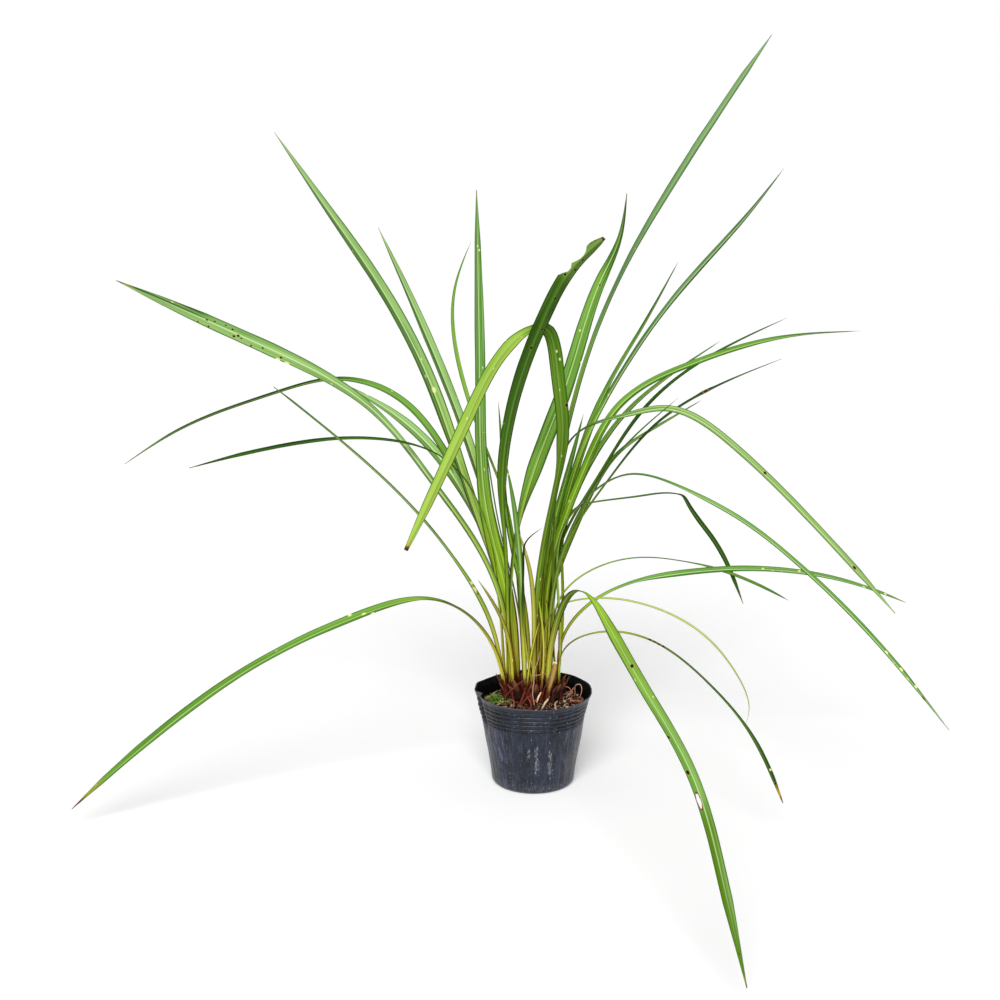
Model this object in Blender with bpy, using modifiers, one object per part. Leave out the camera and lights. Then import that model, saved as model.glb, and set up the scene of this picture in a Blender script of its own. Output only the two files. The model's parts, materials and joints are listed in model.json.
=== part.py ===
"""Potted New Zealand flax: forty strap leaves on one crown, in a thin nursery pot.

Metres, +Z up. The origin is the centre of the pot's underside, on the ground.
Every leaf is a folded strap lofted along its own curve from the crown to its tip.
"""
import math

import bmesh
import bpy
import numpy as np
from mathutils import Vector

MM = 0.001
GAP = 0.3 * MM

# Pot
POT_HEIGHT = 95 * MM
POT_RIM_RADIUS = 60 * MM
POT_BASE_RADIUS = 43.5 * MM
POT_WALL = 1.0 * MM
POT_FLOOR = 1.6 * MM
POT_CORNER = 5 * MM
POT_FLARE = 1.2 * MM
POT_STEPS = 40
BAND_TOP = 90 * MM
BAND_PITCH = 4.4 * MM
BAND_GROOVES = 5
GROOVE_DEPTH = 0.6 * MM
DRAIN_HOLES = 8
DRAIN_RADIUS = 4 * MM
DRAIN_RING = 27 * MM

# Soil, moss and crown
SOIL_TOP = 85 * MM
SOIL_CROWN_RISE = 2 * MM
CROWN_CENTRE = (0, 7 * MM)
CROWN_RADII = (35 * MM, 31 * MM)
CROWN_TOP = 91 * MM
CROWN_EDGE = 2 * MM
MOSS_CENTRE = (-45 * MM, 4 * MM)
MOSS_RADII = (8 * MM, 20 * MM)
MOSS_HEIGHT = 4 * MM

# Leaf section and the way it changes from foot to tip
LEAF_THICKNESS = 0.9 * MM
LEAF_FOOT_Z = CROWN_TOP + GAP
FOOT_WIDTH = 0.42
FULL_WIDTH_AT = 0.38
TAPER_FROM = 0.55
TAPER_POWER = 3.0
FOOT_FOLD = 24
BLADE_FOLD = 62
OPEN_AT = 0.4
SECTION_SPACING = 30 * MM

# Colours, linear red, green and blue
GREEN = (0.12, 0.32, 0.05)
BRIGHT = (0.30, 0.45, 0.06)
BLUE_GREEN = (0.11, 0.27, 0.10)
DARK = (0.04, 0.14, 0.02)
YELLOW = (0.45, 0.42, 0.08)
RUST = (0.22, 0.07, 0.03)
STRAW = (0.50, 0.36, 0.16)
PINK_BROWN = (0.32, 0.12, 0.08)
PEAT = (0.03, 0.016, 0.010)
MOSS_GREEN = (0.10, 0.25, 0.02)
BLUE_BLACK = (0.022, 0.026, 0.036)


def leaf(foot, azimuth, width, turn, colour, *path):
    """One leaf in millimetres and degrees.

    foot is where it stands on the crown. azimuth is the way it leans: 0 is +X and 90 is +Y.
    turn is how far the blade is rolled about its length, at the foot and at the tip.
    path is its line as (reach, height) or (reach, height, side) from the foot; side is
    measured to the left of the azimuth.
    """
    return {"foot": foot, "azimuth": azimuth, "width": width, "turn": turn, "colour": colour,
            "path": path}


LEAVES = {
    # Upright leaves on the left
    "leaf_tall_left": leaf((-21, 18), 165, 14, (70, 50), GREEN,
                           (12, 186), (45, 290), (87, 410), (142, 515), (249, 655)),
    "leaf_left_slim": leaf((-14, 26), 140, 11, (60, 50), GREEN,
                           (16, 180), (53, 303), (85, 375), (133, 467), (198, 565)),
    "leaf_left_curled": leaf((-9, 27), 120, 4, (40, 20), BRIGHT,
                             (12, 180), (36, 288, 4), (55, 332, 13), (79, 405, 28),
                             (94, 500, 29), (91, 548, 11)),
    "leaf_upright": leaf((-17, 10), 130, 14, (40, 30), GREEN,
                         (11, 187, 3), (32, 273, 12), (54, 412, 4), (68, 538, -5), (74, 598, -9)),
    "leaf_left_spotted": leaf((-28, 9), 172, 13, (60, 50), GREEN,
                              (6, 187), (35, 252), (75, 308), (135, 380), (245, 442), (400, 508)),
    "leaf_left_middle": leaf((-20, 23), 155, 11, (60, 40), GREEN,
                             (15, 183), (38, 255), (90, 333), (133, 367), (215, 405)),
    # Arching leaves on the left
    "leaf_left_drooping": leaf((-15, 33), 160, 7, (40, 30), BLUE_GREEN,
                               (27, 223), (81, 332), (128, 384), (195, 405), (280, 388),
                               (405, 343), (482, 300)),
    "leaf_left_level": leaf((-30, 16), 183, 6, (40, 20), BLUE_GREEN,
                            (8, 207), (62, 334), (120, 352), (195, 350), (312, 325)),
    "leaf_left_thin": leaf((-29, 2), 205, 6, (50, 30), BLUE_GREEN,
                           (16, 167), (50, 230), (92, 285), (170, 362), (230, 413)),
    "leaf_left_low": leaf((-28, -5), 195, 12, (30, 40), GREEN,
                          (12, 138), (39, 178), (68, 195), (144, 187), (260, 138), (340, 85),
                          (423, 18)),
    # Leaves in the middle
    "leaf_folded": leaf((2, -4), 210, 14, (50, 50), BRIGHT,
                        (3, 150, 1), (-5, 294, 21), (-7, 367, 42), (4, 419, 51), (13, 458, 55),
                        (19, 468, 56), (28, 470, 55), (42, 463, 51), (65, 440, 44), (93, 390, 36),
                        (131, 309, 26), (153, 263, 20)),
    "leaf_bitten": leaf((-22, -2), 312, 14, (60, 40), DARK,
                        (2, 160, -6), (6, 242, -13), (17, 319, -31), (45, 417, -38), (78, 478, -37),
                        (106, 520, -26), (133, 543, -14)),
    "leaf_broad_right": leaf((-12, 6), 50, 14, (60, 50), BRIGHT,
                             (-4, 150, 8), (13, 308), (45, 360), (75, 408), (131, 509), (165, 555),
                             (176, 600)),
    "leaf_centre_front": leaf((-8, -8), 235, 6, (40, 30), GREEN,
                              (7, 194), (21, 278, 2), (36, 335, 1)),
    "leaf_centre_yellow": leaf((-1, -12), 235, 6, (40, 30), YELLOW,
                               (1, 173, 2), (7, 223, 1), (20, 267, -4)),
    "leaf_left_inner": leaf((-8, 17), 150, 6, (40, 30), GREEN,
                            (10, 180), (31, 267, 3), (49, 337, -4), (66, 396, -7)),
    "leaf_centre_inner": leaf((-3, 23), 110, 7, (20, 30), GREEN,
                              (7, 180, 5), (24, 265, 17), (37, 336, 18), (46, 385, 18)),
    "leaf_right_inner": leaf((2, 29), 60, 7, (40, 30), GREEN,
                             (6, 160), (14, 223, -4), (32, 284, -12), (62, 371, -23)),
    # Upright leaves on the right
    "leaf_tallest": leaf((8, 12), 25, 9, (50, 60), BLUE_GREEN,
                         (4, 187), (33, 375), (75, 488), (138, 591), (262, 757)),
    "leaf_right_high": leaf((14, 19), 35, 7, (50, 50), BLUE_GREEN,
                            (10, 226), (48, 343), (91, 407), (170, 492), (277, 583), (328, 632)),
    "leaf_right_bright": leaf((4, 26), 55, 11, (60, 40), BRIGHT,
                              (19, 202), (63, 291), (127, 380), (213, 453), (301, 531)),
    "leaf_right_long": leaf((20, 12), 15, 9, (50, 30), GREEN,
                            (-3, 219), (32, 320), (69, 384), (85, 397), (140, 422), (241, 449),
                            (336, 456)),
    "leaf_back_right": leaf((20, 27), 45, 8, (50, 30), BLUE_GREEN,
                            (13, 245), (66, 328), (125, 374), (200, 408), (285, 440)),
    "leaf_right_thin": leaf((22, 18), 30, 4, (30, 30), DARK,
                            (9, 247), (52, 309), (105, 373), (198, 430), (303, 468)),
    "leaf_right_knotted": leaf((25, 6), 5, 5, (30, 30), DARK,
                               (11, 251), (49, 310), (98, 368), (146, 399), (222, 431)),
    "leaf_back_slender": leaf((8, 31), 55, 7, (40, 30), GREEN,
                              (14, 170), (67, 245), (140, 309), (230, 335), (370, 362)),
    "leaf_right_short": leaf((16, -1), 340, 7, (40, 30), GREEN,
                             (12, 234, -3), (38, 295, -4), (75, 349, -6), (127, 399, -6)),
    # Arching leaves on the right
    "leaf_right_arch_high": leaf((19, 3), 345, 11, (20, 40), GREEN,
                                 (1, 190), (3, 292), (23, 359), (70, 378), (110, 386), (174, 353),
                                 (266, 266), (330, 199)),
    "leaf_right_arch_low": leaf((26, -1), 338, 8, (20, 40), GREEN,
                                (0, 190), (3, 263), (27, 296), (67, 322), (128, 310), (177, 287),
                                (233, 248), (298, 190), (374, 106)),
    "leaf_right_level": leaf((28, 8), 8, 8, (20, 30), GREEN,
                             (4, 150), (40, 189), (120, 211), (190, 214), (303, 197), (372, 172)),
    "leaf_right_fine": leaf((28, 14), 28, 4, (20, 20), GREEN,
                            (4, 194), (58, 219), (144, 213), (227, 186), (303, 149)),
    "leaf_kinked": leaf((26, 20), 35, 6, (20, 40), DARK,
                        (6, 200), (26, 276, 6), (58, 282, 2), (110, 283, -3), (149, 280, -9),
                        (163, 274, -12), (179, 259, -16), (199, 228, -22), (233, 153, -36)),
    # Low leaves at the front
    "leaf_front_long": leaf((14, -8), 287, 16, (10, 20), BRIGHT,
                            (5, 130), (22, 170), (58, 210), (92, 224), (166, 207), (257, 171),
                            (340, 132), (383, 81), (423, 21)),
    "leaf_front_yellow": leaf((27, -6), 325, 5, (20, 20), YELLOW,
                              (3, 138), (46, 166), (108, 166), (164, 136), (209, 94), (241, 37)),
    "leaf_front_fine": leaf((20, -9), 335, 3, (20, 20), YELLOW,
                            (2, 184), (42, 199), (93, 199), (152, 177), (186, 141), (197, 95)),
    # Short and withered leaves
    "leaf_left_orange": leaf((-21, -8), 215, 4, (30, 20), YELLOW,
                             (9, 162), (42, 219)),
    "leaf_dry_curl": leaf((1, -15), 225, 3, (20, 20), STRAW,
                          (11, 196, -7), (14, 237, -3), (14, 255), (10, 264, 7), (5, 271, 15)),
    "leaf_short_dry": leaf((7, -13), 300, 4, (20, 20), STRAW,
                           (4, 154, 1), (3, 197, -5)),
    "leaf_short_bright": leaf((6, 3), 10, 8, (40, 40), BRIGHT,
                              (9, 148, -1), (7, 190, 1)),
    "leaf_short_yellow": leaf((-7, -15), 0, 6, (20, 20), YELLOW,
                              (4, 133, -3), (13, 176, -7)),
}

# Old brown leaf bases round the crown: foot, azimuth, width, then reach and height of the tip
SHEATHS = {
    "sheath_front_left": ((-17, -14), 240, 9, (6, 122)),
    "sheath_front": ((2, -18), 275, 8, (5, 118)),
    "sheath_front_right": ((24, -13), 300, 8, (5, 116)),
    "sheath_left": ((-32, 4), 185, 8, (5, 120)),
    "sheath_right": ((32, 2), 350, 8, (4, 118)),
    "sheath_back": ((0, 33), 70, 8, (4, 117)),
}

# Stub of a leaf that was cut off: the middle of its foot and of its cut end
STUB_RADIUS = 3 * MM
STUB_FOOT = (12 * MM, -15 * MM, CROWN_TOP + GAP)
STUB_END = (18 * MM, -21 * MM, 124 * MM)

# Roots that lie on the soil, in millimetres in plan
ROOT_RADIUS = 1.1 * MM
ROOTS = {
    "root_front": ((-7, -27), (-11, -32), (-8, -38), (-1, -41), (7, -41)),
    "root_right": ((36, 14), (41, 19), (40, 26), (34, 31), (30, 38)),
    "root_right_end": ((37, -4), (43, -7), (48, -4), (51, 3), (50, 11)),
}


def clear_scene():
    """Remove every object that is already there."""
    for old in list(bpy.data.objects):
        bpy.data.objects.remove(old, do_unlink=True)


def new_collection(name):
    """A fresh collection linked to the scene."""
    collection = bpy.data.collections.new(name)
    bpy.context.scene.collection.children.link(collection)
    return collection


def paint(obj, colour, roughness):
    """Give an object a plain material of its own."""
    material = bpy.data.materials.new(obj.name + "_finish")
    material.use_nodes = True
    shader = material.node_tree.nodes["Principled BSDF"]
    shader.inputs["Base Color"].default_value = (*colour, 1.0)
    shader.inputs["Roughness"].default_value = roughness
    shader.inputs["Metallic"].default_value = 0.0
    obj.data.materials.append(material)


def object_from_bmesh(name, bm, collection):
    """Turn a bmesh into a named object."""
    mesh = bpy.data.meshes.new(name)
    bm.to_mesh(mesh)
    bm.free()
    obj = bpy.data.objects.new(name, mesh)
    collection.objects.link(obj)
    return obj


def turned(name, profile, collection, steps=POT_STEPS):
    """A closed turned solid; profile runs from the axis at the top, down, back to the axis."""
    bm = bmesh.new()
    verts = [bm.verts.new((radius, 0, height)) for radius, height in profile]
    for first, second in zip(verts, verts[1:]):
        bm.edges.new((first, second))
    obj = object_from_bmesh(name, bm, collection)
    screw = obj.modifiers.new("turn", "SCREW")
    screw.steps = steps
    screw.render_steps = steps
    screw.use_merge_vertices = True
    screw.merge_threshold = 0.00005
    screw.use_smooth_shade = True
    return obj


def body_radius(height):
    """Radius of the pot's outer wall at a height, without its flare and grooves."""
    share = height / POT_HEIGHT
    return POT_BASE_RADIUS + (POT_RIM_RADIUS - POT_FLARE - POT_BASE_RADIUS) * share


def corner_arc(radius, corner, rise, steps=4):
    """Points round the pot's bottom edge, from the wall down to the underside."""
    points = []
    for step in range(steps + 1):
        angle = math.radians(90 * step / steps)
        points.append((radius - corner + corner * math.cos(angle),
                       rise + corner - corner * math.sin(angle)))
    return points


def pot_outer_profile():
    """Outside of the pot, from the lip down to the centre of the underside."""
    points = [(POT_RIM_RADIUS, POT_HEIGHT), (body_radius(BAND_TOP), BAND_TOP)]
    for groove in range(BAND_GROOVES):
        middle = BAND_TOP - (groove + 0.5) * BAND_PITCH
        points.append((body_radius(middle + 0.25 * BAND_PITCH), middle + 0.25 * BAND_PITCH))
        points.append((body_radius(middle) - GROOVE_DEPTH, middle))
        points.append((body_radius(middle - 0.25 * BAND_PITCH), middle - 0.25 * BAND_PITCH))
    points += corner_arc(POT_BASE_RADIUS, POT_CORNER, 0)
    points.append((0, 0))
    return points


def pot_inner_profile():
    """Inside of the pot, from the centre of its floor up to the lip."""
    inner = POT_BASE_RADIUS - POT_WALL
    points = [(0, POT_FLOOR)]
    points += reversed(corner_arc(inner, POT_CORNER - POT_WALL, POT_FLOOR))
    points.append((body_radius(BAND_TOP) - POT_WALL - GROOVE_DEPTH, BAND_TOP))
    points.append((POT_RIM_RADIUS - POT_WALL, POT_HEIGHT))
    return points


def make_pot(parts, cutters):
    """The thin pot, with a ring of drain holes through its floor."""
    profile = pot_inner_profile() + pot_outer_profile()
    pot = turned("pot", profile, parts)
    paint(pot, BLUE_BLACK, 0.42)
    bm = bmesh.new()
    for hole in range(DRAIN_HOLES):
        angle = 2 * math.pi * hole / DRAIN_HOLES
        place = Vector((DRAIN_RING * math.cos(angle), DRAIN_RING * math.sin(angle), 0))
        drill = bmesh.ops.create_cone(bm, cap_ends=True, segments=12, radius1=DRAIN_RADIUS,
                                      radius2=DRAIN_RADIUS, depth=4 * POT_FLOOR)
        bmesh.ops.translate(bm, verts=drill["verts"], vec=place)
    drills = object_from_bmesh("drain_drills", bm, cutters)
    drills.hide_render = True
    drills.display_type = "WIRE"
    cut = pot.modifiers.new("drain_holes", "BOOLEAN")
    cut.object = drills
    cut.operation = "DIFFERENCE"
    return pot


def inner_radius(height):
    """Clear radius inside the pot's wall at a height."""
    low = POT_FLOOR + POT_CORNER - POT_WALL
    share = (height - low) / (BAND_TOP - low)
    top = body_radius(BAND_TOP) - POT_WALL - GROOVE_DEPTH
    bottom = POT_BASE_RADIUS - POT_WALL
    return bottom + (top - bottom) * share


def make_soil(parts):
    """The root ball: it fills the pot to a little under the rim, a bit higher in the middle."""
    low = POT_FLOOR + POT_CORNER
    rim = inner_radius(SOIL_TOP) - 2 * GAP
    profile = [(0, SOIL_TOP), (CROWN_RADII[0] + 6 * MM, SOIL_TOP), (rim, SOIL_TOP - SOIL_CROWN_RISE)]
    profile.append((inner_radius(low) - 2 * GAP, low))
    profile.append((POT_BASE_RADIUS - POT_CORNER - 2 * GAP, POT_FLOOR + GAP))
    profile.append((0, POT_FLOOR + GAP))
    soil = turned("soil", profile, parts)
    paint(soil, PEAT, 0.95)
    return soil


def place_oval(obj, centre, radii, height):
    """Put a turned solid in its place and squeeze its circle into an oval."""
    obj.scale = (1, radii[1] / radii[0], 1)
    obj.location = (centre[0], centre[1], height)


def make_crown(parts):
    """The short root stock: a low oval block that the leaves stand on."""
    bottom = SOIL_TOP + GAP
    height = CROWN_TOP - bottom
    radius = CROWN_RADII[0]
    profile = [(0, height), (radius - CROWN_EDGE, height), (radius, height - CROWN_EDGE),
               (radius, 0), (0, 0)]
    crown = turned("crown", profile, parts, steps=32)
    place_oval(crown, CROWN_CENTRE, CROWN_RADII, bottom)
    paint(crown, RUST, 0.8)
    return crown


def make_moss(parts):
    """A low cushion of moss on the soil."""
    profile = [(MOSS_RADII[0] * math.sin(math.radians(a)), MOSS_HEIGHT * math.cos(math.radians(a)))
               for a in range(0, 91, 18)]
    profile.append((0, 0))
    moss = turned("moss", profile, parts, steps=20)
    place_oval(moss, MOSS_CENTRE, MOSS_RADII, SOIL_TOP + GAP)
    paint(moss, MOSS_GREEN, 0.95)
    return moss


def second_derivatives(stations, values):
    """Second derivatives of the natural cubic spline through the values."""
    count = len(stations)
    gaps = np.diff(stations)
    matrix = np.eye(count)
    right = np.zeros_like(values)
    for i in range(1, count - 1):
        matrix[i, i - 1] = gaps[i - 1]
        matrix[i, i] = 2 * (gaps[i - 1] + gaps[i])
        matrix[i, i + 1] = gaps[i]
        right[i] = 6 * ((values[i + 1] - values[i]) / gaps[i]
                        - (values[i] - values[i - 1]) / gaps[i - 1])
    return np.linalg.solve(matrix, right)


def smooth_curve(knots, spacing):
    """Points about every spacing along the natural cubic spline through the knots."""
    knots = np.array(knots, float)
    lengths = np.linalg.norm(np.diff(knots, axis=0), axis=1)
    stations = np.concatenate(([0.0], np.cumsum(lengths)))
    bends = second_derivatives(stations, knots)
    points = [knots[0]]
    for i, length in enumerate(lengths):
        pieces = max(1, round(length / spacing))
        for piece in range(1, pieces + 1):
            b = piece / pieces
            a = 1 - b
            points.append(a * knots[i] + b * knots[i + 1]
                          + ((a ** 3 - a) * bends[i] + (b ** 3 - b) * bends[i + 1])
                          * length ** 2 / 6)
    return [Vector(point) for point in points]


def leaf_knots(shape):
    """World points of a leaf's path, in metres, from its foot."""
    angle = math.radians(shape["azimuth"])
    ahead = Vector((math.cos(angle), math.sin(angle), 0))
    left = Vector((-math.sin(angle), math.cos(angle), 0))
    foot = Vector((shape["foot"][0] * MM, shape["foot"][1] * MM, 0))
    knots = [foot + Vector((0, 0, LEAF_FOOT_Z))]
    for reach, height, *side in shape["path"]:
        aside = side[0] if side else 0
        knots.append(foot + ahead * reach * MM + left * aside * MM + Vector((0, 0, height * MM)))
    return knots, left


def ease(share):
    """Smooth step from 0 to 1."""
    share = min(max(share, 0.0), 1.0)
    return share * share * (3 - 2 * share)


def blade_width(share):
    """Width of the blade at a share of its length, next to its full width."""
    grown = FOOT_WIDTH + (1 - FOOT_WIDTH) * ease(share / FULL_WIDTH_AT)
    past = max(0.0, (share - TAPER_FROM) / (1 - TAPER_FROM))
    return grown * (1 - past ** TAPER_POWER)


def blade_fold(share):
    """Angle between each half of the blade and the middle of its fold."""
    return math.radians(FOOT_FOLD + (BLADE_FOLD - FOOT_FOLD) * ease(share / OPEN_AT))


def section_axes(tangent, left, roll):
    """The blade's sideways and inward directions, rolled about the leaf's length."""
    side = (left - tangent * left.dot(tangent)).normalized()
    inward = tangent.cross(side)
    across = side * math.cos(roll) + inward * math.sin(roll)
    return across, tangent.cross(across)


def loft_leaf(name, knots, left, width, turn, colour, parts):
    """A folded strap along the path: a four-cornered section that ends in a point."""
    line = smooth_curve(knots, SECTION_SPACING)
    steps = [(b - a).length for a, b in zip(line, line[1:])]
    total = sum(steps)
    bm = bmesh.new()
    rows = []
    for i, point in enumerate(line[:-1]):
        share = sum(steps[:i]) / total
        tangent = (line[i + 1] - line[max(i - 1, 0)]).normalized()
        roll = math.radians(turn[0] + (turn[1] - turn[0]) * share)
        across, inward = section_axes(tangent, left, roll)
        half = 0.5 * width * MM * blade_width(share)
        fold = blade_fold(share)
        rise = inward * half * math.cos(fold)
        reach = across * half * math.sin(fold)
        corners = [point + rise + reach, point - inward * LEAF_THICKNESS, point + rise - reach, point]
        if i == 0:
            corners = [c - tangent * (c.z - point.z) / tangent.z for c in corners]
        rows.append([bm.verts.new(corner) for corner in corners])
    tip = bm.verts.new(line[-1])
    one_edge, keel, other_edge, groove = rows[0]
    bm.faces.new((one_edge, keel, groove))
    bm.faces.new((keel, other_edge, groove))
    # The diagonals start at the blade's edges on both sides, so a twisted wall stays open
    for lower, upper in zip(rows, rows[1:]):
        for k in range(4):
            after = (k + 1) % 4
            if k % 2:
                bm.faces.new((lower[k], lower[after], upper[k]))
                bm.faces.new((lower[after], upper[after], upper[k]))
            else:
                bm.faces.new((lower[k], lower[after], upper[after]))
                bm.faces.new((lower[k], upper[after], upper[k]))
    for k in range(4):
        bm.faces.new((rows[-1][k], rows[-1][(k + 1) % 4], tip))
    bmesh.ops.recalc_face_normals(bm, faces=bm.faces)
    blade = object_from_bmesh(name, bm, parts)
    paint(blade, colour, 0.45)
    return blade


def make_leaves(parts):
    """Every leaf, each on its own foot."""
    for name, shape in LEAVES.items():
        knots, left = leaf_knots(shape)
        loft_leaf(name, knots, left, shape["width"], shape["turn"], shape["colour"], parts)


def make_sheaths(parts):
    """Short brown leaf bases that stand round the crown."""
    for name, (foot, azimuth, width, tip) in SHEATHS.items():
        middle = (0.3 * tip[0], 0.5 * (tip[1] + LEAF_FOOT_Z / MM))
        shape = leaf(foot, azimuth, width, (0, 0), RUST, middle, tip)
        knots, left = leaf_knots(shape)
        loft_leaf(name, knots, left, width, (0, 0), RUST, parts)


def tube(name, points, radius, colour, parts):
    """A round tube through the points, with filled ends."""
    curve = bpy.data.curves.new(name, "CURVE")
    curve.dimensions = "3D"
    curve.bevel_depth = radius
    curve.bevel_resolution = 2
    curve.use_fill_caps = True
    spline = curve.splines.new("POLY")
    spline.points.add(len(points) - 1)
    for control, point in zip(spline.points, points):
        control.co = (*point, 1.0)
    obj = bpy.data.objects.new(name, curve)
    parts.objects.link(obj)
    paint(obj, colour, 0.7)
    return obj


def make_stub(parts):
    """The stub of the leaf that was cut off, leaning out of the crown."""
    foot = Vector(STUB_FOOT) + Vector((0, 0, STUB_RADIUS))
    return tube("cut_stub", [foot, Vector(STUB_END)], STUB_RADIUS, STRAW, parts)


def make_roots(parts):
    """Stout roots that lie on the soil beside the crown."""
    height = SOIL_TOP + GAP + ROOT_RADIUS
    for name, route in ROOTS.items():
        knots = [(x * MM, y * MM, height) for x, y in route]
        tube(name, smooth_curve(knots, 4 * MM), ROOT_RADIUS, PINK_BROWN, parts)


def main():
    clear_scene()
    parts = new_collection("potted_new_zealand_flax")
    cutters = new_collection("cutters")
    make_pot(parts, cutters)
    make_soil(parts)
    make_moss(parts)
    make_crown(parts)
    make_leaves(parts)
    make_sheaths(parts)
    make_stub(parts)
    make_roots(parts)


main()
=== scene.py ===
import json
import math
import random

import bmesh
import bpy
import numpy as np
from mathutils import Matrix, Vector, noise


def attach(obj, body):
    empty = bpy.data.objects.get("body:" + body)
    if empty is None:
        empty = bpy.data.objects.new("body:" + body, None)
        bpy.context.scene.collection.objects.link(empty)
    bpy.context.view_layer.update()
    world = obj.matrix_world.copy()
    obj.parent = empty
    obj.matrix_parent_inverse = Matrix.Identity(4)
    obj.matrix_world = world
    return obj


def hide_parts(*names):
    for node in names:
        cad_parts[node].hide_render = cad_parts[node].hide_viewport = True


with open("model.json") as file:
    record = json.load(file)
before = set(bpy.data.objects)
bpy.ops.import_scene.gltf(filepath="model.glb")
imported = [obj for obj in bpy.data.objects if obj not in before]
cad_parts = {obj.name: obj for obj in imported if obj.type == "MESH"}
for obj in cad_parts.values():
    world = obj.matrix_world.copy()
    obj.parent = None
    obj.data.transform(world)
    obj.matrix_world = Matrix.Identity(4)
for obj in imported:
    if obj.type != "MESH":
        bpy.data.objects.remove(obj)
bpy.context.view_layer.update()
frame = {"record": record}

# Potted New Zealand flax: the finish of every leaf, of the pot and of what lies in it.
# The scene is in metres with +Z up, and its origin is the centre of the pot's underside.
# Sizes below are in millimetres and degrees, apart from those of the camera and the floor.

SLOTS = {part["node"]: part["material_slot"] for part in frame["record"]["subparts"]}
MM = 0.001
SEED = 41
FULL_TURN = 2 * math.pi

# Camera, as the photograph was taken, the light and the floor, in metres and degrees
CAMERA_PLACE = (-0.034, -1.175, 0.50)
CAMERA_DOWN = 10
CAMERA_LENS = 43.2
SENSOR_WIDTH = 36.0
SUN_ENERGY = 3.3
SUN_SPREAD = 35
SUN_TURN = (50, -10)
SURROUND_LIGHT = 0.36
FLOOR_GREYS = ((0.86, 0.86, 0.86), (0.88, 0.88, 0.88))
FLOOR_GLOW = 0.15
FLOOR_RADIUS = 60

# Pot: height and radius down its wall, then its ribs, floor and drain holes
POT_HEIGHT = 95.0
POT_LINE = ((95, 59.4), (93.5, 59.0), (90, 57.4), (68, 52.0), (49, 49.6), (33, 46.6), (13, 43.4), (5, 42.6))
POT_WALL = 1.1
POT_FLOOR_TOP = 2.0
POT_SOLE = 0.6
SOLE_RADIUS = 34.0
POT_CORNER = 5.0
POT_COLUMNS = 216
FLOOR_RINGS = (22.0, 10.0)
POT_SHARP = 50
BAND_TOP = 90.0
BAND_PITCH = 4.4
BAND_RIBS = 5
RIB_DEPTH = 1.2
BAND_FOOT = BAND_TOP - BAND_RIBS * BAND_PITCH
DRAIN_HOLES = 8
DRAIN_RADIUS = 4.0
DRAIN_RING = 27.0
DRILL_LENGTH = 8.0
FOLD_ANGLE = 200.0
FOLD_WIDTH = 3.4
FOLD_DEPTH = 4.2
FRONT_ANGLE = 262
FRONT_SPREAD = 16
FRONT_DENT = 1.3
RIM_CORNER = 183.0
CORNER_SPREAD = 26
CORNER_RISE = 6.0
BACK_ANGLE = 75
BACK_SPREAD = 60
BACK_RISE = 3.0
# Pale drips on the pot's front: place across, lower and upper end
DRIPS = ((2.5, 14.0, 58.0), (16.0, 10.0, 54.0), (-6.0, 30.0, 56.0))
# lip is a painted highlight along the rim, and inside is painted shade on the inner wall
POT_COLOURS = {
    "dark": "#12151d", "blue": "#222837", "scuff_and_side_sheen": "#6f7696", "hair": "#7f86a2", "pit": "#0a0c10",
    "drip": "#b4bac6", "rubbed": "#989ba6", "earth": "#806648", "crease": "#6a5242", "dust": "#c2c6d0",
    "lip": "#646872", "inside": "#040405", "inner_dust": "#3c3c40",
}

# Soil, crown and moss, with the rings and columns of their meshes
SOIL_LEVEL = 84.5
SOIL_SLOPE = 0.05
SOIL_ROUGHNESS = 1.6
SOIL_BOTTOM = 2.2
SOIL_RINGS = 52
SOIL_COLUMNS = 144
SOIL_SIDES = (70, 50, 30, 12, 3.5, SOIL_BOTTOM)
SOIL_EDGE = 52.0
MOUND_DEPTH = 4.0
CROWN_CENTRE = (0.0, 5.0)
CROWN_RADII = (33.0, 29.0)
CROWN_SKIRT = (46, 42)
CROWN_RISE = 12.0
CROWN_MESH = (30, 120)
MOSS_CENTRE = (-40.0, 2.0)
MOSS_RADII = (12.0, 20.0)
MOSS_RISE = 3.0
MOSS_MESH = (18, 64)

# Loose things: how many, sizes from and to, thicknesses along them and colours
CHIPS = 1300
CHIP_LENGTH = (1.6, 4.2)
GRAINS = 2200
GRAIN_LENGTH = (0.6, 1.7)
FIBRES = 260
FIBRE_LENGTH = (3, 10)
FIBRE_RADII = (0.22, 0.32, 0.12)
MOSS_BLADES = 1100
MOSS_BLADE_LENGTH = (1.2, 3.6)
MOSS_BLADE_RADIUS = (0.16, 0.3)
SCALES_PER_LEAF = 3
SCALE_WIDTH = (4.0, 7.5)
SCALE_HEIGHT = (10, 24)
SCALE_THICKNESS = 0.35
ROOT_RADII = (1.3, 1.2, 0.7)
THREADS = 30
THREAD_LENGTH = (6, 15)
THREAD_RADII = (0.4, 0.35, 0.2)
SOIL_BROWNS = ("#0a0604", "#2c1a11", "#7a5a3e", "#180e09")
MOSS_GREENS = ("#080e04", "#1d3c0e", "#448022", "#a2cc50")
GRAIN_DARK = "#160c08"
END_DARK = "#1c100a"
BARK = ("#0e0705", "#2a160e", "#54301f", "#8e6446", "#dcbc92")
FIBRE = ("#4a2a1c", "#8a5a44", "#c09a78")
ROOT = ("#300f09", "#742a1a", "#a65a42", "#d2a48a", "#ecd2a4")
CROWN_BROWNS = ("#120705", "#48190f", "#8a4630")
SCALE_BROWNS = ("#240d08", "#6e2a18", "#b8845a")
STUB_BROWNS = ("#6e3018", "#a8843c", "#d6b868")
STUB_CUT = "#f2ead6"
SHEATH_BROWNS = ("#260d07", "#64281a", "#a8704a")

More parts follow.
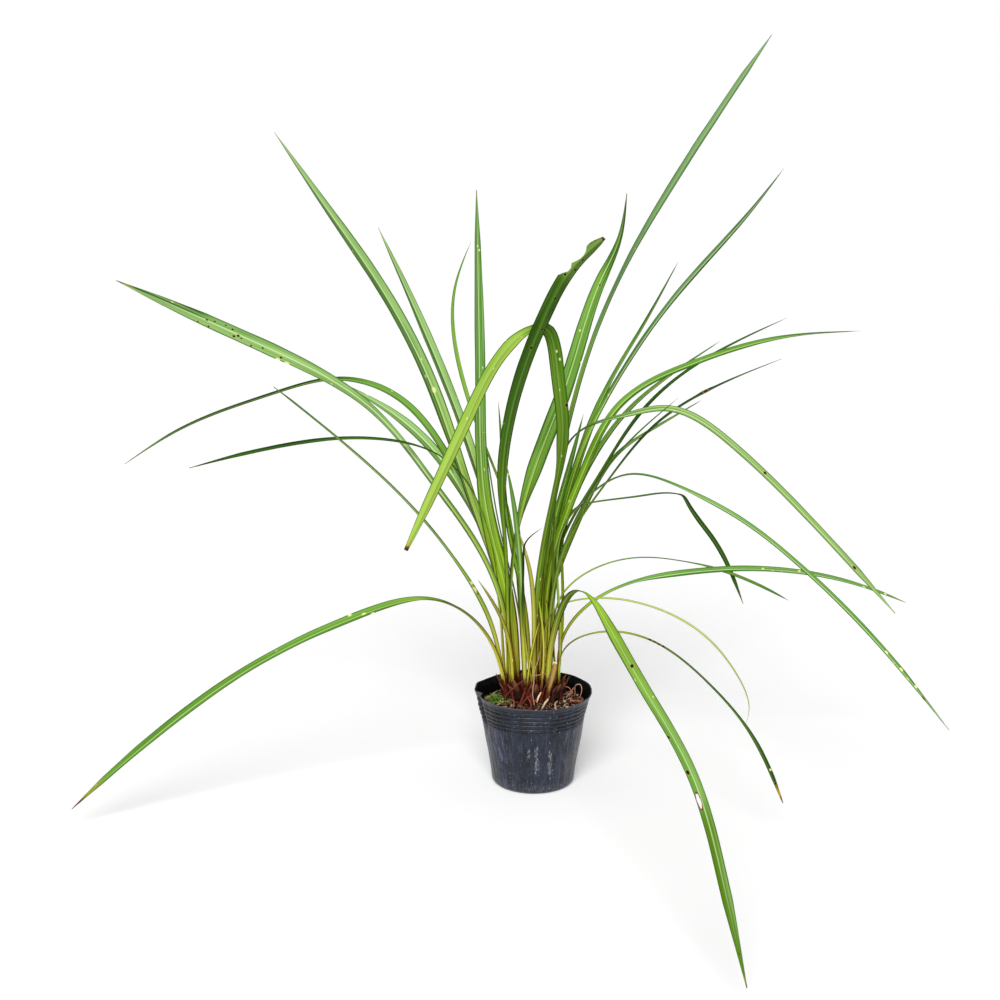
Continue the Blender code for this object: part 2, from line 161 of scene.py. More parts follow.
# Leaf section and the way it changes from foot to tip
LEAF_FOOT_Z = 91.3
FOOT_WIDTH = 0.72
FULL_WIDTH_AT = 0.28
TAPER_FROM = 0.55
TAPER_POWER = 3.0
FOOT_FOLD = 42
BLADE_FOLD = 62
OPEN_AT = 0.3
CURL = 8
KEEL_ROUND = 0.08
KEEL_THICKNESS = 0.55
EDGE_THICKNESS = 0.22
FOOT_THICKER = 0.9
FOOT_THICK_TO = 50
STEADY_TO = 60
ROLL_WANDER = 5
ROLL_WAVE = 70
FOLD_WANDER = 0.06
FOLD_WAVE = 45
EDGE_WANDER = 0.035
EDGE_WAVE = 24
LEAF_SHARP = 55
WIDE_COLUMNS = (0, 0.07, 0.17, 0.31, 0.47, 0.64, 0.82, 1)
SLIM_COLUMNS = (0, 0.12, 0.35, 0.67, 1)
FINE_COLUMNS = tuple(step / 14 for step in range(15))
SLIM_WIDTH = 6

# Leaf colours: dark streaks and painted shade, the blade, pale streaks and painted light, the underside and
# the midrib
TONES = {
    "green": ("#2f5a0e", "#4e8420", "#7fae48", "#6f9f44", "#b4d080"),
    "bright": ("#2f6604", "#5a9a12", "#b4d25a", "#96bc44", "#d4e69a"),
    "lime": ("#5c8c18", "#8bb62a", "#b8d850", "#a8cc48", "#dcea9c"),
    "silver": ("#3f701c", "#5f9438", "#9cc374", "#94bc6c", "#c8dea2"),
    "reed": ("#4c7208", "#64963a", "#96be6c", "#8cb664", "#c4da9c"),
    "blue": ("#2c4f24", "#4a7638", "#84aa6c", "#709860", "#b2cc98"),
    "dark": ("#1a3a0a", "#2d5712", "#4a7a20", "#3f6e1c", "#5f8a34"),
    "mossy": ("#22420a", "#446f1a", "#80aa4c", "#4e7c20", "#82a652"),
    "pale": ("#47702a", "#749c48", "#a9c87c", "#9cba6e", "#c6daa0"),
    "olive": ("#4a5a10", "#8c9434", "#ccc65a", "#b0b04c", "#d2cc74"),
    "cream": ("#8c9a40", "#a8b458", "#d2da88", "#bcc878", "#dce29c"),
    "yellow": ("#7a7a18", "#a0a22e", "#ccc65a", "#b8b44c", "#dedc84"),
}
LOWER_SHADE = "#2c4a06"
LOWER_BLADE = "#86b61c"
LOWER_PALE = "#bad83c"
FOOT_YELLOW = "#e2d24e"
FOOT_OLIVE = "#b4b430"
FOOT_BROWN = "#4c1c10"
MARGIN_BROWN = "#5a260c"
TIP_BROWN = "#5e3018"
TIP_YELLOW = "#b09438"
FLECK_PALE = "#e2e6a0"
# Near black for the leaf margins and for the deepest painted shade
EDGE_AND_SHADE_DARK = "#0c1a04"
SPOT_BROWN = "#34100a"
SPOT_HALO = "#c0b054"
HOLE_RIM = "#7a2c18"

# Looks of a plain leaf, and how a slim one differs
PLAIN_LOOKS = {
    "columns": WIDE_COLUMNS, "spacing": 4.0, "thick": 1, "halves": ((0, 0, 0), (1, 0, 0)), "bites": (),
    "spots": (), "scars": (), "lower": 0.62, "stripes": 1.0, "foot_length": 75.0, "rib": 0.8,
    "tip_length": 3.0, "tip_yellow": 0.4,
}
SLIM_LOOKS = {"columns": SLIM_COLUMNS, "rib": 0.25}


def leaf(foot, azimuth, width, turn, tone, *path, **looks):
    """One leaf in millimetres and degrees.

    foot is where it stands on the crown. azimuth is the way it leans: 0 is +X and 90 is +Y.
    turn is how far the blade is rolled about its length: one value at the foot and one at the
    tip, or pairs of share of length and roll.
    path is its line as (reach, height) or (reach, height, side) from the foot; side is
    measured to the left of the azimuth.
    looks are what differs from a plain leaf. columns are places across a half of the blade,
    and spacing is the distance between its rows. widths and folds are pairs of share of length
    and value. halves are the share of length, then the painted light on the left and right
    halves there: paler above 0, painted shade below 0, near black below -1. spots, scars and
    the hole lie at a distance along the leaf and one across it; bites are from, to, side and
    depth. lower is where the lime of the foot ends, and rib, stripes and tip_yellow are strengths.
    """
    slim = SLIM_LOOKS if width < SLIM_WIDTH else {}
    return {"foot": foot, "azimuth": azimuth, "width": width, "turn": turn, "tone": tone,
            "path": path, **PLAIN_LOOKS, **slim, **looks}


LEAVES = {
    # Upright leaves on the left
    "leaf_tall_left": leaf((-21, 18), 165, 14, ((0, 20), (0.35, 60), (0.5, 88), (0.7, 80), (1, 74)),
        "silver", (12, 186), (45, 290), (88, 410), (146, 513), (197, 583), (249, 655),
        halves=((0, -0.1, 0.2), (0.4, -0.9, 0.3), (1, -0.9, 0.4)),
        scars=((320, 0.5, 2.6), (336, -2.2, 1.2))),
    "leaf_left_slim": leaf((-14, 26), 140, 12, ((0, 30), (0.3, 70), (0.5, 100), (1, 98)), "silver",
        (16, 180), (53, 303), (86, 375), (136, 465), (198, 565),
        halves=((0, -0.1, 0.3), (0.4, -0.9, 0.7), (1, -0.8, 0.6))),
    "leaf_left_curled": leaf((-9, 27), 120, 5, ((0, 40), (0.5, 30), (0.7, -10), (1, -10)), "bright",
        (12, 180), (36, 288, 4), (55, 332, 13), (79, 405, 28), (94, 500, 29), (91, 548, 11)),
    "leaf_upright": leaf((-17, 10), 130, 16.5, ((0, 0), (0.2, -25), (0.3, -32), (0.5, -14), (1, -12)),
        "silver", (11, 187, 3), (32, 273, 12), (54, 412, 4), (68, 538, -5), (74, 598, -9),
        widths=((0, 0.55), (0.14, 0.8), (0.28, 1), (0.5, 0.8), (0.75, 0.7), (0.9, 0.42), (1, 0.03)),
        halves=((0, 0, 0), (0.2, 0.1, 0.3), (0.4, -0.2, 0.2), (1, -0.2, 0.3)),
        scars=((454, -2, 1), (458, -0.3, 1), (300, 1, 1.2)),
        folds=((0, 40), (0.1, 56), (0.2, 78), (0.35, 78), (0.5, 64), (1, 64))),
    "leaf_left_spotted": leaf((-28, 9), 172, 14,
        ((0, 30), (0.2, 66), (0.35, 84), (0.5, 92), (0.72, 100), (1, 100)), "silver", (6, 187), (35, 252),
        (75, 308), (133, 378), (245, 442), (400, 508),
        folds=((0, 34), (0.3, 55), (0.55, 62), (0.72, 80), (1, 74)),
        widths=((0, 0.6), (0.2, 0.55), (0.35, 0.48), (0.5, 0.52), (0.6, 0.72), (0.72, 1), (0.84, 0.92),
            (0.92, 0.6), (1, 0.03)),
        halves=((0, -0.6, -0.2), (0.33, -0.7, -0.6), (0.45, -0.2, 0), (0.6, 0.2, -0.1), (0.7, 0.4, 0.4),
            (0.82, 0.4, -0.2), (0.87, 0.3, -1.5), (1, 0, -1.7)),
        spots=((438, -3.3, 1.2), (459, -2.1, 1), (471, -4.8, 1), (483, -2.1, 0.9), (487, -1, 1.3),
            (491, -3.3, 1.3), (495, 2.4, 1.1), (503, 3.4, 0.9), (515, 2.4, 0.9), (519, -4.8, 1),
            (523, 0.7, 1), (531, -4.5, 0.8)), scars=((430, -6.5, 2.4), (440, -6.5, 2)), lower=0.45,
        tip_length=7),
    "leaf_left_middle": leaf((-20, 23), 155, 12, ((0, 30), (0.4, 60), (0.6, 105), (1, 105)), "silver",
        (15, 183), (38, 255), (90, 333), (133, 367), (215, 405),
        widths=((0, 0.6), (0.28, 0.9), (0.6, 1), (0.75, 0.9), (0.9, 0.36), (1, 0.03)), lower=0.7,
        halves=((0, -0.5, -0.3), (0.4, -0.5, 0), (0.7, -0.2, 0.2), (1, -0.3, 0.3))),
    # Arching leaves on the left
    "leaf_left_drooping": leaf((-15, 33), 160, 9, ((0, 30), (0.3, -35), (0.5, -40), (0.6, -38), (1, -48)),
        "green", (27, 223), (81, 332), (128, 384), (195, 405), (280, 388), (405, 343), (482, 300),
        halves=((0, -0.3, -0.3), (0.35, 0.5, 0.5), (0.52, 0.3, 0.3), (0.6, -1.6, -1.6), (1, -1.7, -1.5)),
        widths=((0, 0.7), (0.3, 1), (0.5, 0.9), (0.6, 0.7), (0.9, 0.55), (1, 0.05)), lower=0.4, rib=0.3),
    "leaf_left_level": leaf((-30, 16), 183, 7, ((0, 40), (0.4, 30), (0.6, -30), (1, -30)), "dark", (8, 207),
        (62, 334), (120, 352), (195, 350), (312, 325),
        widths=((0, 0.8), (0.25, 0.6), (0.4, 0.4), (0.55, 0.5), (0.75, 0.95), (0.9, 0.9), (1, 0.1)),
        halves=((0, -1.2, -1.2), (0.25, 0.3, 0.3), (0.4, -0.2, 0), (0.5, -1.1, -0.8), (0.68, -0.5, 0.7),
            (0.8, -1.2, -0.6), (0.9, -0.2, 0), (1, -1.2, -1)), rib=0.3),
    "leaf_left_thin": leaf((-29, 2), 205, 6, (50, 30), "green", (16, 167), (50, 230), (92, 285), (170, 362),
        (230, 413), spots=((123, -1.4, 0.8), (113, 1, 0.8)),
        halves=((0, 0, 0), (0.35, -0.3, -0.1), (0.5, -0.7, -0.6), (0.7, -1.4, -1.3), (1, -0.9, -0.7)),
        widths=((0, 0.7), (0.25, 0.95), (0.4, 0.6), (0.75, 0.6), (0.95, 0.5), (1, 0.1)),
        scars=((119, 0, 2.6), (127, 1.2, 1.6))),
    "leaf_left_low": leaf((-28, -5), 195, 12, ((0, 20), (0.2, 10), (0.35, -24), (1, -24)), "green",
        (12, 138), (39, 178), (68, 195), (144, 187), (260, 138), (340, 85), (423, 18),
        widths=((0, 0.6), (0.25, 0.8), (0.4, 1), (0.85, 0.92), (0.93, 0.7), (1, 0.05)), tip_length=14,
        halves=((0, -1, -0.8), (0.2, -0.8, -0.5), (0.3, 0.4, 0.1), (0.7, 0.3, 0.3), (1, 0.1, 0.3)),
        scars=((200, 5, 1.5), (208, 0, 1.8), (221, -5, 1.6)), lower=0.35),
    # Leaves in the middle
    "leaf_folded": leaf((2, -4), 210, 14,
        ((0, 40), (0.36, 30), (0.42, 55), (0.585, 55), (0.65, 107), (1, 107)), "bright", (3, 150, 1),
        (-5, 294, 21), (-6, 367, 38), (4, 419, 44), (13, 453, 48), (18, 461, 49), (27, 465, 49),
        (40, 462, 48), (65, 440, 43), (93, 390, 36), (131, 309, 26), (153, 263, 20),
        widths=((0, 0.5), (0.2, 0.62), (0.36, 0.5), (0.42, 0.86), (0.55, 0.95), (0.6, 0.85),
            (0.625, 0.45), (0.665, 0.8), (0.8, 0.85), (0.93, 0.68), (1, 0.28)), tip_length=4,
        folds=((0, 34), (0.3, 50), (0.38, 55), (0.44, 84), (0.6, 84), (0.68, 68), (1, 66)), rib=0.15,
        halves=((0, 0, 0), (0.35, -0.8, -0.8), (0.58, -0.8, -0.7), (0.62, -0.2, -0.2), (0.66, 0.7, 0.2),
            (1, 0.9, 0.5)), spots=((304, 5, 1.6),), scars=((349, 3.4, 1.2), (357, 1.5, 1.2)), stripes=0.4),
    "leaf_bitten": leaf((-22, -2), 312, 14, ((0, 30), (0.35, 10), (0.5, -20), (0.65, -27), (1, -30)),
        "mossy", (2, 160, -6), (6, 242, -13), (17, 319, -28), (45, 417, -31), (78, 478, -30),
        (106, 520, -23), (133, 543, -14),
        widths=((0, 0.5), (0.25, 0.45), (0.36, 0.42), (0.48, 0.8), (0.65, 0.92), (0.76, 1), (0.9, 1),
            (0.965, 0.85), (0.985, 0.6), (1, 0.25)), rib=0.3,
        halves=((0, 0.2, 0), (0.36, 0, 0.1), (0.5, -0.3, 0.2), (0.7, -0.6, 0.1), (0.88, -0.3, 0.1),
            (0.92, 1, 1), (1, 1, 1)), bites=((441, 455, -1, 0.85), (453, 474, -1, 0.95)),
        spots=((366, -0.5, 1.2), (386, 3.3, 1.1), (386, 6, 1), (418, 1.2, 1.2), (442, -1.9, 1.2),
            (450, 4.2, 1.2), (462, 2.8, 1.1)), tip_length=2, stripes=0.35),
    "leaf_broad_right": leaf((-12, 6), 50, 16.5, ((0, -30), (0.28, -75), (0.45, -132), (1, -138)), "green",
        (-4, 150, 8), (13, 308), (45, 360), (75, 408), (131, 509), (165, 555), (176, 600),
        widths=((0, 0.5), (0.2, 0.5), (0.33, 0.6), (0.42, 0.95), (0.55, 1), (0.7, 0.9), (0.82, 0.7),
            (0.91, 0.34), (1, 0.03)), folds=((0, 40), (0.3, 60), (0.45, 78), (0.85, 78), (1, 66)),
        spots=((447, 1, 1),),
        halves=((0, 0, 0), (0.45, 0, -0.2), (0.8, 0.2, -0.2), (0.88, -1.1, -1.3), (1, -1.8, -1.8)),
        scars=((392, -3, 1),)),
    "leaf_centre_front": leaf((-8, -8), 235, 6, (40, 30), "green", (7, 194), (21, 278, 2), (36, 335, 1)),
    "leaf_centre_yellow": leaf((-1, -12), 235, 4.6, (40, 30), "yellow", (1, 173, 2), (7, 223, 1),
        (20, 267, -4), foot_length=40),
    "leaf_left_inner": leaf((-8, 17), 150, 6, (40, 30), "green", (10, 180), (31, 267, 3), (49, 337, -4),
        (66, 396, -7), lower=0.9),
    "leaf_centre_inner": leaf((-3, 23), 110, 7, (20, 30), "green", (7, 180, 5), (24, 265, 17),
        (37, 336, 18), (46, 385, 18),
        halves=((0, 0, 0), (0.5, 0, 0), (0.7, -1.3, -1), (0.8, -0.4, -0.4), (1, -0.5, -0.3)), lower=0.9),
    "leaf_right_inner": leaf((2, 29), 60, 7, (40, 30), "green", (6, 160), (14, 223, -4), (32, 284, -12),
        (62, 371, -23), lower=0.9),
    # Upright leaves on the right
    "leaf_tallest": leaf((8, 12), 25, 12, ((0, 0), (0.55, 0), (0.72, 20), (1, 20)), "blue", (4, 187),
        (33, 375), (75, 488), (138, 591), (262, 757),
        widths=((0, 0.6), (0.3, 0.85), (0.55, 0.75), (0.8, 0.85), (0.93, 0.7), (1, 0.04)), rib=0.4,
        halves=((0, -0.4, -0.4), (0.3, -0.9, -0.6), (0.5, -0.7, 0.2), (0.75, 0, 0.4), (0.85, 0.4, 0.8),
            (1, 0.5, 0.9))),
    "leaf_right_high": leaf((14, 19), 35, 8.5, ((0, 0), (0.6, 0), (0.8, 22), (1, 22)), "blue", (10, 226),
        (48, 343), (91, 407), (170, 492), (277, 583), (328, 632),
        halves=((0, -0.5, -0.3), (0.3, -0.2, 0), (0.4, 0, 0.2), (0.5, -1.2, -0.4), (0.7, -0.8, 0.2),
            (0.9, -1, -0.6), (1, -1.2, -1))),
    "leaf_right_bright": leaf((4, 26), 55, 10, ((0, 0), (0.3, 16), (0.5, 6), (0.65, -24), (1, -26)),
        "green", (19, 202), (63, 291), (127, 380), (213, 453), (301, 531),
        halves=((0, -0.5, -0.3), (0.3, 0.1, 0.2), (0.5, -0.2, 0.4), (0.7, -0.5, 0.3), (0.85, -1.3, -1),
            (1, -1.4, -1.2))),
    "leaf_right_long": leaf((20, 12), 15, 9,
        ((0, 0), (0.25, 40), (0.42, 44), (0.58, 34), (0.75, 34), (1, 16)), "green", (-3, 219), (32, 320),
        (69, 384), (85, 397), (140, 422), (241, 449), (336, 456),
        halves=((0, -0.4, -0.2), (0.4, -0.3, 0), (0.6, 0, 0.4), (0.8, 0.1, 0.3), (0.92, -1.1, -0.9),
            (1, -1.4, -1.3))),
    "leaf_back_right": leaf((20, 27), 45, 8, (0, 0), "green", (13, 245), (66, 328), (125, 374), (200, 408),
        (285, 440),
        halves=((0, -0.4, -0.2), (0.3, -0.1, 0.1), (0.55, -0.6, 0.3), (0.7, -1, -0.3), (0.9, -0.4, 0),
            (1, -1.2, -1))),
    "leaf_right_thin": leaf((22, 18), 30, 4.5, ((0, 0), (0.4, 0), (0.6, 26), (1, 26)), "dark", (9, 247),
        (52, 309), (105, 373), (198, 430), (303, 468),
        halves=((0, -0.8, -0.6), (0.4, -0.8, -0.2), (0.8, -0.8, -0.2), (1, -1.2, -1))),
    "leaf_right_knotted": leaf((25, 6), 5, 5.5, ((0, 0), (0.5, 10), (0.75, 40), (1, 40)), "dark", (11, 251),
        (49, 310), (98, 368), (146, 399), (222, 431),
        widths=((0, 0.7), (0.3, 1), (0.79, 0.55), (0.815, 0.8), (0.84, 0.5), (1, 0.05)),
        spots=((366, 0, 2),),
        halves=((0, -0.2, 0), (0.3, 0.4, 0.3), (0.5, -0.2, 0), (0.65, -1.5, -1.5), (0.78, -1.9, -1.9),
            (0.84, -1.8, -1.8), (0.9, -0.4, 0), (1, -1, -1))),
    "leaf_back_slender": leaf((8, 31), 55, 7, (0, 0), "green", (14, 170), (67, 245), (140, 309), (230, 335),
        (370, 362),
        halves=((0, -0.4, -0.2), (0.3, -0.4, 0.1), (0.5, -0.6, -0.3), (0.68, 0, 0.5), (0.8, -1.3, -0.8),
            (1, -1, -0.8))),
    "leaf_right_short": leaf((16, -1), 340, 7, (0, 0), "green", (12, 234, -3), (38, 295, -4), (75, 349, -6),
        (127, 399, -6),
        halves=((0, 0, 0), (0.3, 0.2, 0.2), (0.6, -0.5, -0.3), (0.8, -0.3, 0), (0.9, 0.3, 0.8),
            (1, -0.2, 0))),
    # Arching leaves on the right
    "leaf_right_arch_high": leaf((19, 3), 345, 9.5, ((0, 0), (0.4, 0), (0.54, 42), (1, 42)), "pale",
        (1, 190), (3, 292), (23, 359), (70, 378), (110, 386), (174, 353), (266, 266), (330, 199),
        spots=((478, 1.5, 1.4), (600, 0.5, 1.6)),
        widths=((0, 0.7), (0.3, 0.75), (0.5, 0.8), (0.6, 0.95), (0.92, 0.85), (1, 0.05)),
        halves=((0, -0.2, 0), (0.25, -0.9, -0.8), (0.44, -1.1, -1), (0.56, 0, 0.1), (0.7, 0.2, 0.2),
            (1, 0.4, 0.4)), lower=0.5),
    "leaf_right_arch_low": leaf((26, -1), 338, 8, ((0, 0), (0.45, 0), (0.55, 22), (1, 20)), "silver",
        (0, 190), (3, 263), (27, 296), (67, 322), (128, 310), (177, 287), (233, 248), (298, 190),
        (374, 106), widths=((0, 0.7), (0.4, 0.9), (0.9, 0.9), (1, 0.05)), spots=((612, -1.2, 2.2),),
        scars=((560, 1, 1.5), (571, -1.5, 1.4), (580, 1, 1.7), (590, -0.5, 1.6), (600, 1.5, 1.4)),
        lower=0.35),
    "leaf_right_level": leaf((28, 8), 8, 9, ((0, 0), (0.3, 0), (0.45, 30), (1, 26)), "silver", (4, 150),
        (40, 189), (120, 211), (190, 214), (303, 197), (372, 172),
        widths=((0, 0.7), (0.4, 1), (0.8, 0.92), (0.94, 0.7), (1, 0.05)),
        scars=((290, 1, 1.3), (300, -1.5, 1.2), (330, 2, 1.3), (404, 0, 1.6), (430, 1, 1.4)), lower=0.35),
    "leaf_right_fine": leaf((28, 14), 28, 4, ((0, 0), (0.6, 0), (0.75, 45), (1, 45)), "green", (4, 194),
        (58, 219), (144, 213), (227, 186), (303, 149),
        halves=((0, -0.2, -0.1), (0.3, -0.4, -0.2), (0.6, -0.6, -0.4), (0.8, 0, 0.3), (0.95, 0, 0),
            (1, -1, -1)),
        widths=((0, 0.9), (0.3, 0.8), (0.6, 0.7), (0.75, 1.2), (0.9, 1.3), (0.96, 0.8), (1, 0.05))),
    "leaf_kinked": leaf((26, 20), 35, 6.5, ((0, 0), (0.65, 0), (0.8, -30), (1, -30)), "dark", (6, 200),
        (26, 276, 6), (58, 282, 2), (110, 283, -3), (152, 282, -9), (160, 279, -10.5), (166, 271, -12),
        (199, 226, -22), (233, 153, -36),
        halves=((0, 0, 0), (0.3, 0.1, 0.5), (0.5, 0.1, 0.6), (0.63, 0.2, 0.8), (0.7, -0.4, 0.2),
            (0.76, -0.6, -0.4), (1, -0.3, -0.1)), spacing=2.5,
        widths=((0, 0.8), (0.5, 0.7), (0.65, 0.8), (0.75, 1), (0.86, 0.95), (0.94, 0.7), (1, 0.05))),
    # Low leaves at the front
    "leaf_front_long": leaf((14, -8), 287, 11,
        ((0, -20), (0.1, -20), (0.2, -50), (0.3, -17), (0.42, 12), (1, 20)), "reed", (5, 130), (22, 170),
        (58, 210), (92, 224), (166, 207), (257, 171), (340, 132), (383, 81), (423, 21),
        widths=((0, 0.7), (0.2, 0.7), (0.3, 0.35), (0.36, 0.6), (0.45, 1), (0.6, 0.92), (0.7, 0.85),
            (0.9, 0.75), (1, 0.05)),
        halves=((0, -0.6, -0.6), (0.27, -0.7, -0.7), (0.36, 0, 0.3), (0.76, 0, 0.5), (0.81, -1, -0.8),
            (1, -1, -0.9)), spots=((300, 0.8, 1.8), (389, -4.2, 1.6), (425, -2.5, 1.7)),
        hole=(449, -2.1, 12.5, 3.4), lower=0.75, stripes=0.8, rib=0.45, spacing=1.2, columns=FINE_COLUMNS),
    "leaf_front_yellow": leaf((27, -6), 325, 4.4, ((0, 20), (0.7, 20), (0.85, 35), (1, 35)), "mossy",
        (3, 138), (46, 166), (108, 166), (164, 136), (209, 94), (241, 37),
        halves=((0, 0.3, 0.3), (0.3, 0.3, 0.3), (0.46, -1, -1), (1, -1.1, -1)), tip_length=6,
        tip_yellow=0.95,
        spots=((156, 0, 1.6), (161, 0.8, 1.8), (166, -0.8, 1.9), (171, 0.6, 1.7), (335, 0, 1.1)),
        scars=((322, 0.8, 1),), foot_length=160, lower=1, stripes=0.4,
        widths=((0, 0.8), (0.3, 0.8), (0.42, 0.6), (0.6, 0.55), (0.76, 0.7), (0.85, 1), (0.93, 0.95),
            (0.98, 0.5), (1, 0.1))),
    "leaf_front_fine": leaf((20, -9), 335, 3, (20, 20), "cream", (2, 184), (42, 199), (93, 199), (152, 177),
        (187, 141), (200, 107), (197, 92)),
    # Short and withered leaves
    "leaf_left_orange": leaf((-21, -8), 215, 5, (30, 20), "olive", (9, 162), (42, 219)),
    "leaf_dry_curl": leaf((1, -15), 225, 2.4, (20, 20), "dark", (11, 196, -7), (14, 237, -3), (14, 255),
        (10, 264, 7), (5, 271, 15), halves=((0, -1, -1), (0.6, -1.9, -1.9), (1, -1.9, -1.9)), stripes=0.2,
        tip_length=2),
    "leaf_short_dry": leaf((7, -13), 300, 4, (20, 20), "lime", (4, 154, 1), (3, 197, -5)),
    "leaf_short_bright": leaf((6, 3), 10, 8, (40, 40), "bright", (9, 148, -1), (7, 190, 1)),
    "leaf_short_yellow": leaf((-7, -15), 0, 6, (20, 20), "yellow", (4, 133, -3), (13, 176, -7)),
}

# The leaf that was cut off, and the torn brown leaf bases
STUB = leaf((13, -16), 310, 10, (180, 180), None, (3, 105), (7, 119), (11, 133),
            widths=((0, 0.45), (0.3, 0.6), (0.6, 1.0), (0.85, 0.95), (1, 0.6)),
            folds=((0, 35), (0.5, 55), (1, 50)), spacing=1.5, thick=1.4)
TORN = {"widths": ((0, 0.8), (0.4, 1.0), (0.75, 0.7), (1, 0.12)), "folds": ((0, 60), (1, 72)), "spacing": 2.0}
SHEATHS = {
    "sheath_front_left": leaf((-17, -14), 240, 9, (0, 0), None, (2, 102), (7, 114), **TORN),
    "sheath_front": leaf((2, -18), 275, 8, (0, 0), None, (1.5, 101), (6, 110), **TORN),
    "sheath_front_right": leaf((24, -13), 300, 8, (0, 0), None, (1.5, 100), (6, 108), **TORN),
    "sheath_left": leaf((-32, 4), 185, 8, (0, 0), None, (1.5, 101), (6, 112), **TORN),
    "sheath_right": leaf((32, 2), 350, 8, (0, 0), None, (1.2, 101), (5, 110), **TORN),
    "sheath_back": leaf((0, 33), 70, 8, (0, 0), None, (1.2, 101), (5, 110), **TORN),
}

# Loose roots and slivers: tone, thickness along each, then its points
STRANDS = (
    # Red roots at the foot of the front leaves
    (0.3, (1.0, 0.9, 0.6), (-5, -6, 101), (-9, -13, 97), (-12, -20, 92), (-17, -33, 87)),
    (0.15, (1.2, 1.2, 0.8), (-5, -6, 102), (-4, -15, 97), (-1, -24, 91), (2, -35, 87)),
    (0.35, (0.9, 0.9, 0.7), (-7, -8, 100), (-6, -18, 94), (-3, -27, 90), (-5, -37, 87)),
    (0.5, (0.7, 0.8, 0.7), (-5, -8, 101), (2, -12, 99), (4, -17, 94), (0, -22, 91), (-5, -19, 92)),
    (0.25, (1.3, 1.0, 0.7), (1, -11, 96), (-4, -19, 95), (-10, -22, 91), (-13, -30, 88)),
    # A pale strand that stands up, and two twigs
    (0.7, (0.3, 0.45, 0.5, 0.4), (6, -20, 143), (4, -20, 133), (1, -21, 124), (0, -21, 112),
     (-1, -24, 97), (1, -30, 88)),
    (0.35, (0.5, 0.4), (-8, -19, 113), (-18, -21, 107), (-28, -22, 97)),
    (0.6, (0.4, 0.5, 0.35), (-4, -20, 117), (4, -21, 118), (13, -20, 120)),
    # Pale slivers of bark
    (1.0, (0.7, 1.1, 0.5), (8, -14, 99), (5, -19, 95), (3, -24, 90)),
    (1.0, (0.8, 1.2, 0.9), (16, -11, 92), (12, -22, 90), (8, -33, 88)),
    (0.8, (0.6, 0.9, 0.5), (24, -18, 90), (21, -27, 89), (22, -35, 87)),
    # Curled roots at the right and a thread at the left
    (0.7, (0.45, 0.55, 0.5, 0.4), (43, 10, 86), (43, 5, 94), (44, 0, 101), (47, -2, 102.5),
     (49.5, -3, 98), (47, -3, 88)),
    (0.6, (0.4, 0.5, 0.35), (31, 6, 87), (30, 3, 95), (34, 0, 99), (38, -3, 97), (36, -4, 89)),
    (0.6, (0.5, 0.5, 0.35), (34, -2, 88), (39, 3, 93), (42, 8, 95), (38, 12, 88)),
    (0.55, (0.6, 0.5), (-24, -14, 90), (-20, -22, 91), (-21, -32, 87)),
)

# The stout roots: tone, then points in plan
ROOTS = {
    "root_front": (0.3, (-7, -27), (-11, -32), (-8, -38), (-1, -41), (7, -41)),
    "root_right": (0.6, (36, 14), (41, 19), (40, 26), (34, 31), (30, 38)),
    "root_right_end": (0.55, (37, -4), (43, -7), (48, -4), (51, 3), (50, 11)),
}


def linear(code):
    """A web colour such as #5f9f3f as linear red, green and blue."""
    values = [int(code[i:i + 2], 16) / 255 for i in (1, 3, 5)]
    return tuple(v / 12.92 if v <= 0.04045 else ((v + 0.055) / 1.055) ** 2.4 for v in values)


class Signal:
    """A number or vector that a material's nodes work out."""

    def __init__(self, paint, socket):
        self.paint = paint
        self.socket = socket

    def math(self, operation, *values):
        return self.paint.signal("ShaderNodeMath", self, *values, operation=operation)

    def __add__(self, other):
        return self.math("ADD", other)

    def __sub__(self, other):
        return self.math("SUBTRACT", other)

    def __mul__(self, other):
        return self.math("MULTIPLY", other)

    def __abs__(self):
        return self.math("ABSOLUTE")

    def most(self, other):
        return self.math("MAXIMUM", other)

    def rise(self, low, high, start=0.0, end=1.0):
        """0 below low, 1 above high, smooth between them."""
        return self.paint.signal("ShaderNodeMapRange", self, low, high, start, end,
                                 interpolation_type="SMOOTHSTEP")

    def fall(self, low, high):
        """1 below low, 0 above high, smooth between them."""
        return self.rise(low, high, 1.0, 0.0)

    def vector(self, operation, other, output=0):
        node = self.paint.node("ShaderNodeVectorMath", self, other, operation=operation)
        return Signal(self.paint, node.outputs[output])

    def stretched(self, *scales):
        return self.vector("MULTIPLY", scales)

    def distance(self, *place):
        return self.vector("DISTANCE", place, "Value")

    def parts(self):
        """The three numbers of a vector."""
        return [Signal(self.paint, part) for part in self.paint.node("ShaderNodeSeparateXYZ", self).outputs]

    def texture(self, kind, scales, **inputs):
        """A texture read at the stretched vector."""
        node = self.paint.node(kind)
        for name, value in dict(inputs, Vector=self.stretched(*scales), Scale=1.0).items():
            self.paint.feed(node.inputs[name], value)
        return [Signal(self.paint, output) for output in node.outputs]

    def noise(self, *scales, detail=3.0, roughness=0.55):
        """Noise from 0 to 1 about 0.5."""
        return self.texture("ShaderNodeTexNoise", scales, Detail=detail, Roughness=roughness)[0]

    def dots(self, *scales, radius, share):
        """Round dots in a share of the cells of a grid, radius in cell widths."""
        distance, colour = self.texture("ShaderNodeTexVoronoi", scales)[:2]
        return distance.fall(0.6 * radius, radius) * colour.parts()[0].math("LESS_THAN", share)


